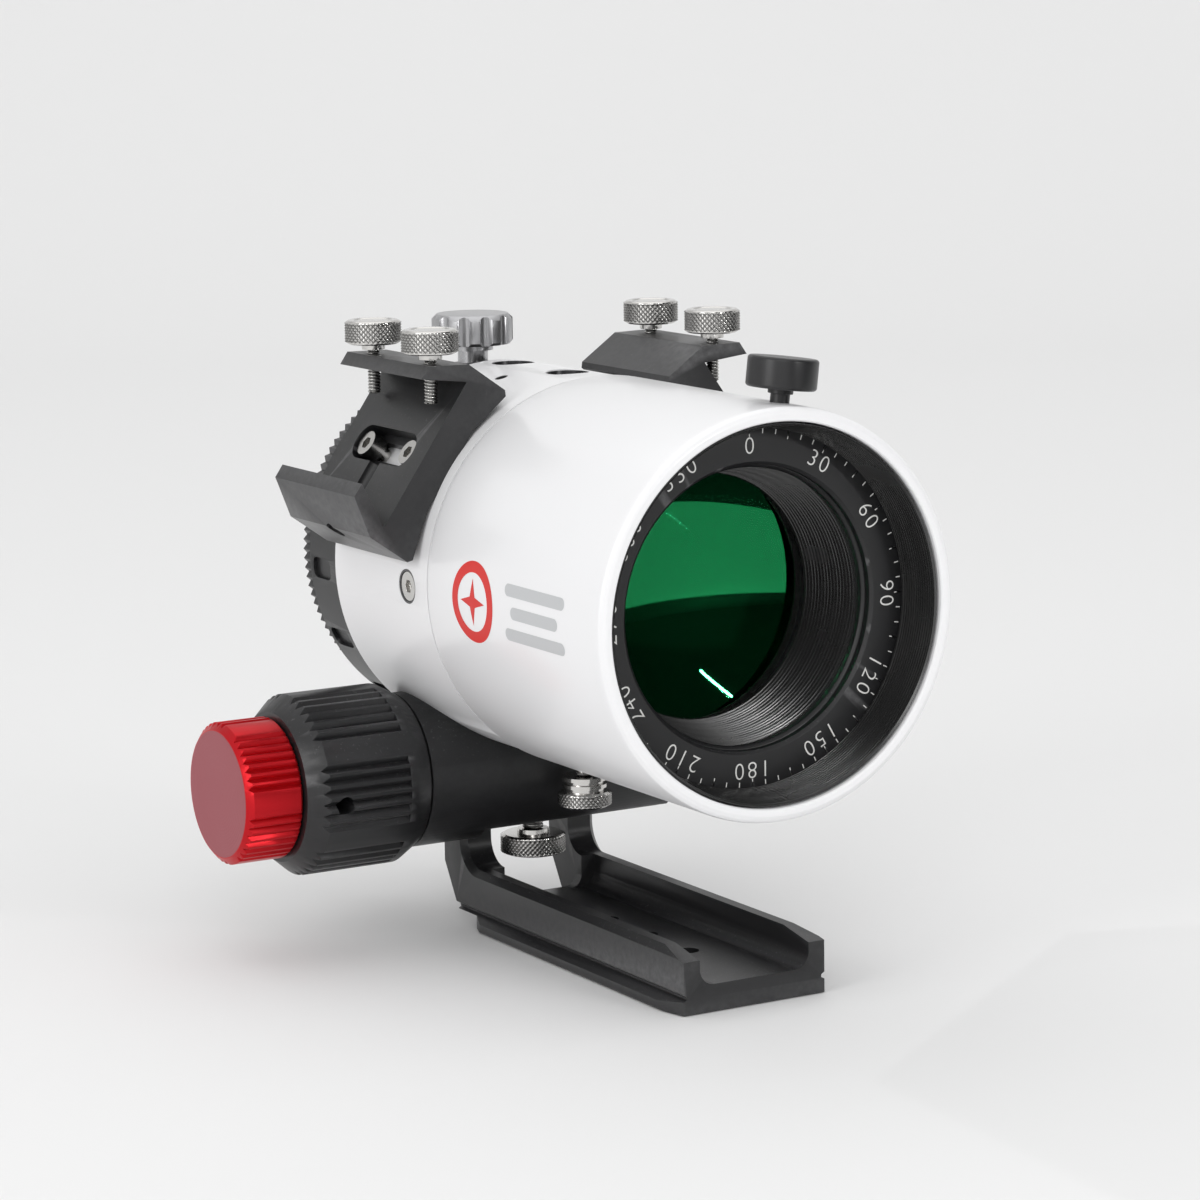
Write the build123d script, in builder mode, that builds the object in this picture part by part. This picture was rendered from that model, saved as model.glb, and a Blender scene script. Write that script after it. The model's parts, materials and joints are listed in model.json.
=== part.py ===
from build123d import *
import math
import os

os.makedirs("parts", exist_ok=True)

# A small white apochromatic astrograph on a dovetail foot, in millimetres.
# The telescope looks along -Y, +Z is up, and the focusing knobs stand out towards -X.
# Pieces are drawn with y measured from the front rim of the tube. They are saved with the
# origin on the foot's underside, at its middle hole.

# ---------------------------------------------------------------- driving dimensions
AXIS_Z = 82.7            # height of the optical axis
TUBE_R = 42.0            # white main tube
SHIELD_R = 42.4          # white dew shield
BARREL_R = 39.0          # black inner barrel and lens cell, under the shield
SHIELD_BORE_R = 39.3
SHIELD_LENGTH = 72.0
TUBE_FRONT_Y = 72.1      # shoulder where the shield stops
TUBE_REAR_Y = 115.0
DRAW_R = 35.0            # drawtube outside
DRAW_BORE_R = 33.2
DRAW_FRONT_Y = 58.0
DRAW_REAR_Y = 121.0
GUIDE_BORE_R = 35.05     # sliding fit of the drawtube
FIT = 0.05               # radial clearance of shafts and screws that turn

PINION_Y = 104.0         # pinion and knob axis, parallel to X
PINION_Z = 37.0
MODULE = 0.8
PINION_TEETH = 15
PITCH_R = MODULE * PINION_TEETH / 2
TOOTH_PITCH = math.pi * MODULE
PITCH_LINE_Z = PINION_Z + PITCH_R
HOUSING_R = 17.15
HOUSING_LEFT_X = -33.5
HOUSING_RIGHT_X = 27.0
BLOCK_HALF = 17.2        # half width of the square block under the housing
BLOCK_BOTTOM_Z = 23.5

RAIL_HALF = 19.0         # 38 mm dovetail
RAIL_FRONT_Y = 11.0
RAIL_REAR_Y = 98.5
RAIL_HOLE_PITCH = 16.5
RAIL_MIDDLE_HOLE_Y = 53.4
LEG_INNER_X = 9.9
LEG_REAR_Y = 113.0

SHOE_TILT = 35.0         # slope of the finder shoes' floor normal above the horizontal
SHOE_MID_Y = 94.0
SHOE_LENGTH = 37.5
SHOE_FLOOR = 48.7        # floor's distance from the optical axis
SHOE_SCREW_SPACING = 19.0
CLAMP_SPACING = 26.0
CLAMP_X = 35.2

TUBE_AXIS = Axis((0, 0, AXIS_Z), (0, 1, 0))
PINION_AXIS = Axis((0, PINION_Y, PINION_Z), (1, 0, 0))


def about_tube(*pairs):
    """Points in the YZ plane from (y, distance from the optical axis) pairs."""
    return [(y, AXIS_Z + r) for y, r in pairs]


def about_pinion(*pairs):
    """Points in the XZ sketch plane through the pinion axis from (x, radius) pairs."""
    return [(x, PINION_Z + r) for x, r in pairs]


def across_tube(y):
    """A plane square to the optical axis at y: local x is X, local y is Z, extrudes towards -Y."""
    return Plane(origin=(0, y, AXIS_Z), x_dir=(1, 0, 0), z_dir=(0, -1, 0))


def radial(y, degrees_from_top, distance=0.0):
    """A plane whose normal points outwards from the optical axis, turned towards +X from the top."""
    a = math.radians(degrees_from_top)
    out = Vector(math.sin(a), 0, math.cos(a))
    return Plane(origin=Vector(0, y, AXIS_Z) + out * distance, x_dir=(0, 1, 0), z_dir=tuple(out))


def pinion_section():
    """The XZ plane through the pinion axis."""
    return Plane(origin=(0, PINION_Y, 0), x_dir=(1, 0, 0), z_dir=(0, -1, 0))


def save(part, label):
    """Write one piece, moved from the rim's datum to the origin on the foot's middle hole."""
    placed = part.part.moved(Location((0, -RAIL_MIDDLE_HOLE_Y, 0)))
    placed.label = label
    export_step(placed, f"parts/{label}.step")


# ---------------------------------------------------------------- foot with its dovetail rail
HOLE_R = 2.25
FLOOR_Z = 5.8
WALL_TOP_Z = 13.0
WALL_HALF = 17.2
CHANNEL_HALF = 13.3
with BuildPart() as foot:
    with BuildSketch(Plane(origin=(0, RAIL_FRONT_Y, 0), x_dir=(1, 0, 0), z_dir=(0, -1, 0))):
        Polygon(
            (-18.6, 0), (18.6, 0), (RAIL_HALF, 0.4), (RAIL_HALF, 2.0), (16.4, 3.3), (16.4, 3.9),
            (WALL_HALF, 4.4), (WALL_HALF, 23.6), (-WALL_HALF, 23.6), (-WALL_HALF, 4.4), (-16.4, 3.9),
            (-16.4, 3.3), (-RAIL_HALF, 2.0), (-RAIL_HALF, 0.4),
        )
    extrude(amount=-(LEG_REAR_Y - RAIL_FRONT_Y))
    # side view: low walls, a fillet up to the legs and a slanting back
    with BuildSketch(Plane.YZ):
        with BuildLine():
            Polyline(
                (104.5, 19.0), (104.5, BLOCK_BOTTOM_Z), (LEG_REAR_Y, BLOCK_BOTTOM_Z), (LEG_REAR_Y, 12.9),
                (107.0, 2.9), (RAIL_REAR_Y, 2.9), (RAIL_REAR_Y, 0), (RAIL_FRONT_Y, 0),
                (RAIL_FRONT_Y, 11.2), (20.5, WALL_TOP_Z), (98.5, WALL_TOP_Z),
            )
            RadiusArc((98.5, WALL_TOP_Z), (104.5, 19.0), -6.0)
        make_face()
    extrude(amount=RAIL_HALF + 1, both=True, mode=Mode.INTERSECT)
    # plan view: the dovetail narrows at both ends
    with BuildSketch(Plane.XY):
        Polygon(
            (-17.2, RAIL_FRONT_Y), (17.2, RAIL_FRONT_Y), (RAIL_HALF, 18.5), (RAIL_HALF, 94.0),
            (17.25, RAIL_REAR_Y), (17.25, LEG_REAR_Y), (-17.25, LEG_REAR_Y), (-17.25, RAIL_REAR_Y),
            (-RAIL_HALF, 94.0), (-RAIL_HALF, 18.5),
        )
    extrude(amount=30, mode=Mode.INTERSECT)
    # channel between the walls
    with BuildSketch(Plane(origin=(0, RAIL_FRONT_Y - 1, 0), x_dir=(1, 0, 0), z_dir=(0, -1, 0))):
        with Locations((0, FLOOR_Z + 15)):
            RectangleRounded(2 * CHANNEL_HALF, 30, 3.5)
    extrude(amount=-(98.5 - RAIL_FRONT_Y + 1), mode=Mode.SUBTRACT)
    # window between the legs, open to the back
    with BuildSketch(Plane(origin=(0, 98.0, 0), x_dir=(1, 0, 0), z_dir=(0, -1, 0))):
        with Locations((0, FLOOR_Z + 15)):
            RectangleRounded(2 * LEG_INNER_X, 30, 3.0)
    extrude(amount=-20, mode=Mode.SUBTRACT)
    with BuildSketch(Plane.XY):
        with Locations((0, 111.0)):
            Rectangle(2 * LEG_INNER_X, 20.0)
    extrude(amount=FLOOR_Z + 3, mode=Mode.SUBTRACT)
    # outer top edges of the walls
    long_edges = foot.edges().filter_by(Axis.Y)
    wall_edges = long_edges.filter_by_position(Axis.Z, WALL_TOP_Z - 0.01, WALL_TOP_Z + 0.01)
    chamfer(wall_edges.filter_by(lambda e: abs(e.center().X) > WALL_HALF - 0.1), length=1.4)
    # three tapped holes in line in the floor
    with Locations((0, RAIL_MIDDLE_HOLE_Y, 0)):
        with GridLocations(0, RAIL_HOLE_PITCH, 1, 3):
            Cylinder(HOLE_R, 20, mode=Mode.SUBTRACT)
    # counterbored holes up through the legs
    for x in (-13.5, 13.5):
        with Locations((x, 109.0, 0)):
            Cylinder(1.7, 60, mode=Mode.SUBTRACT)
            Cylinder(3.2, 28.4, mode=Mode.SUBTRACT)
save(foot, "foot")

# cap screws that hold the foot under the focuser
with BuildPart() as foot_screws:
    for x in (-13.5, 13.5):
        with BuildSketch(Plane.XY.offset(11.2)):
            with Locations((x, 109.0)):
                Circle(2.75)
                RegularPolygon(1.45, 6, mode=Mode.SUBTRACT)
        extrude(amount=1.6)
        with BuildSketch(Plane.XY.offset(12.8)):
            with Locations((x, 109.0)):
                Circle(2.75)
        extrude(amount=1.4)
        with BuildSketch(Plane.XY.offset(14.2)):
            with Locations((x, 109.0)):
                Circle(1.5)
        extrude(amount=13.5)
save(foot_screws, "foot_screws")

# ---------------------------------------------------------------- focuser housing
CRADLE_X = 6.4
CRADLE_Y = 6.0
CRADLE_BOTTOM_Z = 26.6
SHAFT_R = 3.0
BUSH_R = 5.5
LEFT_BUSH = (-24.5, -18.5)
RIGHT_BUSH = (14.0, 20.0)
RACE_BORE_R = 9.0
RACE_R = 11.0
RACE_X = (-33.3, -27.0)
CAP_SCREW_ANGLES = (10, 170, 310)
CAP_SCREW_ORBIT_R = 11.5
TENSION_Y = 103.0


def cap_screw_spot(degrees):
    """Centre of an end cap screw in the YZ plane, at an angle about the pinion axis."""
    a = math.radians(degrees)
    return PINION_Y + CAP_SCREW_ORBIT_R * math.cos(a), PINION_Z + CAP_SCREW_ORBIT_R * math.sin(a)


with BuildPart() as focuser_housing:
    with BuildSketch(Plane.YZ.offset(HOUSING_LEFT_X)):
        with Locations((PINION_Y, PINION_Z)):
            Circle(HOUSING_R)
    extrude(amount=HOUSING_RIGHT_X - HOUSING_LEFT_X)
    with BuildSketch(Plane.YZ.offset(-BLOCK_HALF)):
        with Locations((PINION_Y + 0.5, 34.0)):
            Rectangle(18.0, 21.0)
    extrude(amount=2 * BLOCK_HALF)
    # flat underside for the foot
    with Locations(((HOUSING_RIGHT_X - BLOCK_HALF) / 2, PINION_Y, BLOCK_BOTTOM_Z - 10)):
        Box(HOUSING_RIGHT_X + BLOCK_HALF, 60, 20, mode=Mode.SUBTRACT)
    # saddle for the tube
    with BuildSketch(across_tube(160)):
        Circle(TUBE_R + 0.02)
    extrude(amount=100, mode=Mode.SUBTRACT)
    # shaft bore, bush seats, reducer pocket and end cap recess
    with BuildSketch(pinion_section()):
        Polygon(*about_pinion(
            (HOUSING_LEFT_X - 1, 0), (HOUSING_LEFT_X - 1, RACE_R), (RACE_X[1], RACE_R), (RACE_X[1], 9.2),
            (LEFT_BUSH[0], 9.2), (LEFT_BUSH[0], BUSH_R), (LEFT_BUSH[1], BUSH_R), (LEFT_BUSH[1], 3.4),
            (RIGHT_BUSH[0], 3.4), (RIGHT_BUSH[0], BUSH_R), (RIGHT_BUSH[1], BUSH_R), (RIGHT_BUSH[1], 7.0),
            (HOUSING_RIGHT_X + 1, 7.0), (HOUSING_RIGHT_X + 1, 0),
        ))
    revolve(axis=PINION_AXIS, mode=Mode.SUBTRACT)
    # pocket of the pinion cradle, open to the rack
    with Locations((0, PINION_Y, CRADLE_BOTTOM_Z - 0.1 + 15)):
        Box(2 * CRADLE_X + 0.3, 15.4, 30, mode=Mode.SUBTRACT)
    # hole of the tension screw
    with Locations((0, TENSION_Y, BLOCK_BOTTOM_Z)):
        Cylinder(2.5 + FIT, 12, mode=Mode.SUBTRACT)
    # tapped holes of the foot screws and of the end cap
    for x in (-13.5, 13.5):
        with Locations((x, 109.0, BLOCK_BOTTOM_Z)):
            Cylinder(1.5, 9, mode=Mode.SUBTRACT)
    for a in CAP_SCREW_ANGLES:
        with BuildSketch(Plane.YZ.offset(HOUSING_RIGHT_X - 6)):
            with Locations(cap_screw_spot(a)):
                Circle(1.25)
        extrude(amount=8, mode=Mode.SUBTRACT)
save(focuser_housing, "focuser_housing")

# right-hand end cap over the shaft's bearing
CAP_THICK = 2.6
with BuildPart() as housing_end_cap:
    with BuildSketch(Plane.YZ.offset(HOUSING_RIGHT_X)):
        with Locations((PINION_Y, PINION_Z)):
            Circle(HOUSING_R)
        for a in CAP_SCREW_ANGLES:
            with Locations(cap_screw_spot(a)):
                Circle(1.3, mode=Mode.SUBTRACT)
    extrude(amount=CAP_THICK)
    with Locations((HOUSING_RIGHT_X, PINION_Y, BLOCK_BOTTOM_Z - 10)):
        Box(20, 60, 20, mode=Mode.SUBTRACT)
    with BuildSketch(across_tube(160)):
        Circle(TUBE_R + 0.02)
    extrude(amount=100, mode=Mode.SUBTRACT)
save(housing_end_cap, "housing_end_cap")

with BuildPart() as end_cap_screws:
    for a in CAP_SCREW_ANGLES:
        with BuildSketch(Plane.YZ.offset(HOUSING_RIGHT_X - 5)):
            with Locations(cap_screw_spot(a)):
                Circle(1.25)
        extrude(amount=5 + CAP_THICK)
        with BuildSketch(Plane.YZ.offset(HOUSING_RIGHT_X + CAP_THICK)):
            with Locations(cap_screw_spot(a)):
                Circle(2.2)
                RegularPolygon(1.1, 6, mode=Mode.SUBTRACT)
        extrude(amount=1.2)
save(end_cap_screws, "end_cap_screws")

# ---------------------------------------------------------------- pinion drive
for label, (x0, x1) in (("left_shaft_bush", LEFT_BUSH), ("right_shaft_bush", RIGHT_BUSH)):
    with BuildPart() as shaft_bush:
        with BuildSketch(Plane.YZ.offset(x0)):
            with Locations((PINION_Y, PINION_Z)):
                Circle(BUSH_R)
                Circle(SHAFT_R + FIT, mode=Mode.SUBTRACT)
        extrude(amount=x1 - x0)
    save(shaft_bush, label)

# shaft with the reducer's ball cage and the sleeve that carries the coarse knob
SLEEVE_R = 4.5
SLEEVE_END_X = -60.0
CAGE_R = 8.8
CAGE_PIN_R = 1.1
CAGE_PIN_ORBIT_R = 7.6
SHAFT_END_X = 20.0
FINE_R = 1.4
SUN_R = 1.0
BALL_R = 3.9
BALL_ORBIT_R = 5.0
BALL_X = -30.0
CAGE_LEFT_X = (-36.0, -34.1)
CAGE_RIGHT_X = (-26.0, -24.9)
with BuildPart() as pinion_shaft:
    with BuildSketch(pinion_section()):
        Polygon(*about_pinion(
            (SLEEVE_END_X, FINE_R + FIT), (SLEEVE_END_X, SLEEVE_R), (CAGE_LEFT_X[0], SLEEVE_R),
            (CAGE_LEFT_X[0], CAGE_R), (CAGE_LEFT_X[1], CAGE_R), (CAGE_LEFT_X[1], FINE_R + FIT),
        ))
    revolve(axis=PINION_AXIS)
    with BuildSketch(pinion_section()):
        Polygon(*about_pinion(
            (CAGE_RIGHT_X[0], SUN_R + 0.1), (CAGE_RIGHT_X[0], CAGE_R), (CAGE_RIGHT_X[1], CAGE_R),
            (CAGE_RIGHT_X[1], SHAFT_R), (SHAFT_END_X, SHAFT_R), (SHAFT_END_X, 0), (-25.2, 0),
            (-25.2, SUN_R + 0.1),
        ))
    revolve(axis=PINION_AXIS)
    with BuildSketch(Plane.YZ.offset(CAGE_LEFT_X[1] - 0.5)):
        with Locations((PINION_Y, PINION_Z)):
            with PolarLocations(CAGE_PIN_ORBIT_R, 3, start_angle=30):
                Circle(CAGE_PIN_R)
    extrude(amount=CAGE_RIGHT_X[0] - CAGE_LEFT_X[1] + 1.0)
save(pinion_shaft, "pinion_shaft")

with BuildPart() as reducer_balls:
    for i in range(3):
        a = math.radians(90 + 120 * i)
        y = PINION_Y + BALL_ORBIT_R * math.cos(a)
        with Locations((BALL_X, y, PINION_Z + BALL_ORBIT_R * math.sin(a))):
            Sphere(BALL_R)
save(reducer_balls, "reducer_balls")

with BuildPart() as reducer_race:
    with BuildSketch(Plane.YZ.offset(RACE_X[0])):
        with Locations((PINION_Y, PINION_Z)):
            Circle(RACE_R)
            Circle(RACE_BORE_R, mode=Mode.SUBTRACT)
    extrude(amount=RACE_X[1] - RACE_X[0])
save(reducer_race, "reducer_race")

with BuildPart() as pinion:
    with BuildSketch(Plane.YZ.offset(-4.0)):
        with Locations((PINION_Y, PINION_Z)):
            Circle(PITCH_R - 1.15 * MODULE)
        with Locations((PINION_Y, PINION_Z)):
            with PolarLocations(0, PINION_TEETH, start_angle=90):
                Polygon(
                    (4.8, -0.75), (PITCH_R, -0.42), (PITCH_R + 0.72, -0.2),
                    (PITCH_R + 0.72, 0.2), (PITCH_R, 0.42), (4.8, 0.75),
                )
        with Locations((PINION_Y, PINION_Z)):
            Circle(SHAFT_R, mode=Mode.SUBTRACT)
    extrude(amount=8.0)
save(pinion, "pinion")

with BuildPart() as pinion_cradle:
    with Locations((0, PINION_Y, (CRADLE_BOTTOM_Z + PINION_Z) / 2)):
        Box(2 * CRADLE_X, 15.0, PINION_Z - CRADLE_BOTTOM_Z)
    with BuildSketch(Plane.YZ.offset(-4.5)):
        with Locations((PINION_Y, PINION_Z)):
            Circle(PITCH_R + 1.1)
    extrude(amount=9.0, mode=Mode.SUBTRACT)
    with BuildSketch(Plane.YZ.offset(-20)):
        with Locations((PINION_Y, PINION_Z)):
            Circle(SHAFT_R + FIT)
    extrude(amount=40, mode=Mode.SUBTRACT)
save(pinion_cradle, "pinion_cradle")

with BuildPart() as fine_shaft:
    with BuildSketch(pinion_section()):
        Polygon(*about_pinion(
            (-74.0, 0), (-74.0, FINE_R), (CAGE_LEFT_X[1], FINE_R), (CAGE_LEFT_X[1], SUN_R),
            (-25.3, SUN_R), (-25.3, 0),
        ))
    revolve(axis=PINION_AXIS)
save(fine_shaft, "fine_shaft")


def flute_cutters(radius, groups, per_group, pitch_deg, half_width, depth):
    """Sketch the V grooves of a fluted knob, in groups with plain strips between."""
    for g in range(groups):
        for k in range(per_group):
            a = 360 / groups * g + pitch_deg * (k - (per_group - 1) / 2)
            with Locations((PINION_Y, PINION_Z)):
                with PolarLocations(0, 1, start_angle=a):
                    Polygon((radius - depth, 0), (radius + 0.5, -half_width), (radius + 0.5, half_width))


COARSE_R = 19.8
COARSE_X = (-63.6, -34.2)
COARSE_FLUTE_END_X = -40.2
with BuildPart() as coarse_knob:
    with BuildSketch(pinion_section()):
        Polygon(*about_pinion(
            (COARSE_X[0], 16.4), (-59.6, COARSE_R), (-38.4, COARSE_R), (COARSE_X[1], 17.4),
            (COARSE_X[1], 15.2), (-52.0, 15.2), (-52.0, SLEEVE_R), (SLEEVE_END_X, SLEEVE_R),
            (SLEEVE_END_X, 6.5), (COARSE_X[0], 6.5),
        ))
    revolve(axis=PINION_AXIS)
    with BuildSketch(Plane.YZ.offset(COARSE_X[0])):
        flute_cutters(COARSE_R, 6, 6, 7.6, 1.4, 1.15)
    extrude(amount=COARSE_FLUTE_END_X - COARSE_X[0], mode=Mode.SUBTRACT)
    with BuildSketch(Plane(origin=(-56.0, PINION_Y, PINION_Z), x_dir=(1, 0, 0), z_dir=(0, -0.996, -0.087))):
        Circle(2.05)
    extrude(amount=30, mode=Mode.SUBTRACT)
save(coarse_knob, "coarse_knob")

with BuildPart() as coarse_knob_set_screw:
    with BuildSketch(Plane(origin=(-56.0, PINION_Y - 4.7 * 0.996, PINION_Z - 4.7 * 0.087), x_dir=(1, 0, 0),
                           z_dir=(0, -0.996, -0.087))):
        Circle(2.0)
    extrude(amount=5.0)
save(coarse_knob_set_screw, "coarse_knob_set_screw")

FINE_KNOB_R = 15.45
FINE_KNOB_X = (-76.9, -64.0)
with BuildPart() as fine_knob:
    with BuildSketch(pinion_section()):
        Polygon(*about_pinion(
            (FINE_KNOB_X[0], 0), (FINE_KNOB_X[0], 13.9), (-75.6, FINE_KNOB_R), (-64.6, FINE_KNOB_R),
            (FINE_KNOB_X[1], 14.9), (FINE_KNOB_X[1], FINE_R), (-74.0, FINE_R), (-74.0, 0),
        ))
    revolve(axis=PINION_AXIS)
    with BuildSketch(Plane.YZ.offset(FINE_KNOB_X[0])):
        flute_cutters(FINE_KNOB_R, 5, 7, 7.6, 1.15, 0.95)
    extrude(amount=FINE_KNOB_X[1] - FINE_KNOB_X[0], mode=Mode.SUBTRACT)
save(fine_knob, "fine_knob")

# rack under the drawtube, in mesh with the pinion at rest
RACK_FRONT_Y = 86.4
RACK_REAR_Y = 113.6
RACK_SCREW_Y = (89.0, 97.5)
with BuildPart() as rack:
    with BuildSketch(Plane.YZ):
        with Locations(((RACK_FRONT_Y + RACK_REAR_Y) / 2, (PITCH_LINE_Z + 0.95 + 48.2) / 2)):
            Rectangle(RACK_REAR_Y - RACK_FRONT_Y, 48.2 - PITCH_LINE_Z - 0.95)
        for k in range(-7, 4):
            with Locations((PINION_Y + TOOTH_PITCH * (k + 0.5), PITCH_LINE_Z)):
                Polygon((-0.9, 1.0), (-0.48, 0), (-0.26, -0.7), (0.26, -0.7), (0.48, 0), (0.9, 1.0))
    extrude(amount=3.9, both=True)
save(rack, "rack")

# ---------------------------------------------------------------- thumbscrews under the tube
with BuildPart() as tension_screw:
    with BuildSketch(Plane.XY.offset(14.4)):
        with Locations((0, TENSION_Y)):
            Circle(7.4)
    extrude(amount=4.6)
    chamfer(tension_screw.edges().filter_by(GeomType.CIRCLE), length=0.5)
    with BuildSketch(Plane.XY.offset(19.0)):
        with Locations((0, TENSION_Y)):
            Circle(3.6)
    extrude(amount=1.0)
    with BuildSketch(Plane.XY.offset(20.0)):
        with Locations((0, TENSION_Y)):
            Circle(2.5)
    extrude(amount=CRADLE_BOTTOM_Z - 0.05 - 20.0)
save(tension_screw, "tension_screw")

LOCK_Y = 79.5
with BuildPart() as focus_lock_screw:
    with BuildSketch(Plane.XY.offset(29.4)):
        with Locations((0, LOCK_Y)):
            Circle(6.0)
    extrude(amount=3.4)
    chamfer(focus_lock_screw.edges().filter_by(GeomType.CIRCLE), length=0.5)
    for z, r in ((32.8, 4.4), (33.8, 5.0), (34.7, 4.2), (35.3, 5.0)):
        with BuildSketch(Plane.XY.offset(z)):
            with Locations((0, LOCK_Y)):
                Circle(r)
        extrude(amount=1.0)
    with BuildSketch(Plane.XY.offset(36.2)):
        with Locations((0, LOCK_Y)):
            Circle(2.0)
    extrude(amount=AXIS_Z - DRAW_R - 0.2 - 36.2)
save(focus_lock_screw, "focus_lock_screw")

# ---------------------------------------------------------------- main tube
PORT_Y = (84.0, 108.0)
SMALL_HOLE_ANGLE = -15.0
with BuildPart() as main_tube:
    with BuildSketch(Plane.YZ):
        Polygon(*about_tube(
            (62.0, 36.6), (62.0, BARREL_R), (TUBE_FRONT_Y, BARREL_R), (TUBE_FRONT_Y, TUBE_R),
            (TUBE_REAR_Y - 0.4, TUBE_R), (TUBE_REAR_Y, TUBE_R - 0.4), (TUBE_REAR_Y, 38.2), (76.0, 38.2),
            (76.0, 36.6),
        ))
    revolve(axis=TUBE_AXIS)
    # slot for the rack, open at the back
    with Locations((0, (85.3 + 120) / 2, 45.0)):
        Box(9.5, 120 - 85.3, 10, mode=Mode.SUBTRACT)
    with Locations((0, LOCK_Y, 42.0)):
        Cylinder(2.0 + FIT, 12, mode=Mode.SUBTRACT)
    # two round ports on top, with tapped holes below
    for y in PORT_Y:
        with BuildSketch(radial(y, 0, 40.6)):
            Circle(4.8)
        extrude(amount=4, mode=Mode.SUBTRACT)
        with BuildSketch(radial(y, 0, 36.0)):
            Circle(2.5)
        extrude(amount=8, mode=Mode.SUBTRACT)
    # small tapped hole beside the left shoe
    with BuildSketch(radial(SHOE_MID_Y, SMALL_HOLE_ANGLE, 36.0)):
        Circle(1.5)
    extrude(amount=8, mode=Mode.SUBTRACT)
    # counterbores of the side screws
    for a in (-91.0, 91.0):
        with BuildSketch(radial(81.0, a, 39.6)):
            Circle(3.75)
        extrude(amount=4, mode=Mode.SUBTRACT)
        with BuildSketch(radial(81.0, a, 36.0)):
            Circle(1.75)
        extrude(amount=8, mode=Mode.SUBTRACT)
    # tapped holes of the finder shoes
    for a in (SHOE_TILT - 90, 90 - SHOE_TILT):
        for y in (SHOE_MID_Y - SHOE_SCREW_SPACING / 2, SHOE_MID_Y + SHOE_SCREW_SPACING / 2):
            with BuildSketch(radial(y, a, 36.0)):
                Circle(1.5)
            extrude(amount=8, mode=Mode.SUBTRACT)
save(main_tube, "main_tube")

with BuildPart() as tube_screws:
    for a in (-91.0, 91.0):
        with BuildSketch(radial(81.0, a, 39.6)):
            Circle(3.2)
        extrude(amount=1.0)
        with BuildSketch(radial(81.0, a, 40.6)):
            Circle(3.2)
            RegularPolygon(1.45, 6, mode=Mode.SUBTRACT)
        extrude(amount=1.1)
        with BuildSketch(radial(81.0, a, 35.9)):
            Circle(1.75)
        extrude(amount=3.7)
save(tube_screws, "tube_screws")

# rings that guide the drawtube, notched for the rack and drilled for the lock screw
for label, y0, y1 in (("front_guide_ring", 77.0, 83.0), ("rear_guide_ring", 109.0, 114.4)):
    with BuildPart() as guide_ring:
        with BuildSketch(across_tube(y0)):
            Circle(38.2)
            Circle(GUIDE_BORE_R, mode=Mode.SUBTRACT)
        extrude(amount=y0 - y1)
        if y0 > 100:
            with Locations((0, (y0 + y1) / 2, 45.0)):
                Box(9.5, 20, 10, mode=Mode.SUBTRACT)
        else:
            with Locations((0, LOCK_Y, 42.0)):
                Cylinder(2.0 + FIT, 20, mode=Mode.SUBTRACT)
        # square notches clear of the ports' screws
        for y in PORT_Y:
            with BuildSketch(radial(y, 0, 34.0)):
                Rectangle(5.8, 5.8)
            extrude(amount=8, mode=Mode.SUBTRACT)
        for a in (-91.0, 91.0):
            with BuildSketch(radial(81.0, a, 34.0)):
                Circle(1.75)
            extrude(amount=8, mode=Mode.SUBTRACT)
    save(guide_ring, label)

# ---------------------------------------------------------------- barrel, lens cell and optics
with BuildPart() as inner_barrel:
    with BuildSketch(Plane.YZ):
        Polygon(*about_tube(
            (57.0, 36.5), (57.0, BARREL_R), (62.0, BARREL_R), (62.0, 36.5), (70.0, 36.5), (70.0, 35.6),
            (57.0, 35.6),
        ))
    revolve(axis=TUBE_AXIS)
save(inner_barrel, "inner_barrel")

LENS_R = 28.5
with BuildPart() as lens_cell:
    with BuildSketch(Plane.YZ):
        Polygon(*about_tube(
            (13.3, 33.2), (13.3, BARREL_R), (57.0, BARREL_R), (57.0, 30.6), (53.0, 30.6), (53.0, LENS_R),
            (31.5, LENS_R), (31.5, 27.6), (30.6, 27.6), (30.6, 33.2),
        ))
    revolve(axis=TUBE_AXIS)
save(lens_cell, "lens_cell")

RIB_COUNT = 13
with BuildPart() as cell_front_ring:
    ribs = []
    for k in range(RIB_COUNT):
        y = 1.2 + 10.0 * k / RIB_COUNT
        r = 38.3 - 1.4 * k / RIB_COUNT
        ribs += [(y, r), (y + 0.38, r + 0.35)]
    with BuildSketch(Plane.YZ):
        Polygon(*about_tube(
            (0.9, 38.7), (1.3, BARREL_R), (13.3, BARREL_R), (13.3, 37.4), (11.2, 37.4), (11.2, 36.9),
            *reversed(ribs),
        ))
    revolve(axis=TUBE_AXIS)
save(cell_front_ring, "cell_front_ring")

with BuildPart() as name_ring:
    with BuildSketch(Plane.YZ):
        Polygon(*about_tube((11.2, 37.35), (13.25, 37.35), (13.25, 29.4), (11.9, 29.4), (11.6, 29.9)))
    revolve(axis=TUBE_AXIS)
save(name_ring, "name_ring")

with BuildPart() as baffle_clamp_ring:
    with BuildSketch(Plane.YZ):
        Polygon(*about_tube((13.3, 33.1), (15.6, 33.1), (15.6, 28.9), (14.0, 28.6), (13.3, 29.2)))
    revolve(axis=TUBE_AXIS)
save(baffle_clamp_ring, "baffle_clamp_ring")

BAFFLE_STEPS = 10
with BuildPart() as stepped_baffle:
    steps = []
    for k in range(BAFFLE_STEPS):
        y = 15.7 + 14.4 * k / BAFFLE_STEPS
        r = 28.6 - 2.8 * k / BAFFLE_STEPS
        steps += [(y, r + 0.45), (y + 1.1, r + 0.45), (y + 1.1, r - 0.1)]
    with BuildSketch(Plane.YZ):
        Polygon(*about_tube((15.7, 33.1), (30.5, 33.1), (30.5, 25.6), *reversed(steps)))
    revolve(axis=TUBE_AXIS)
save(stepped_baffle, "stepped_baffle")


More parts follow.
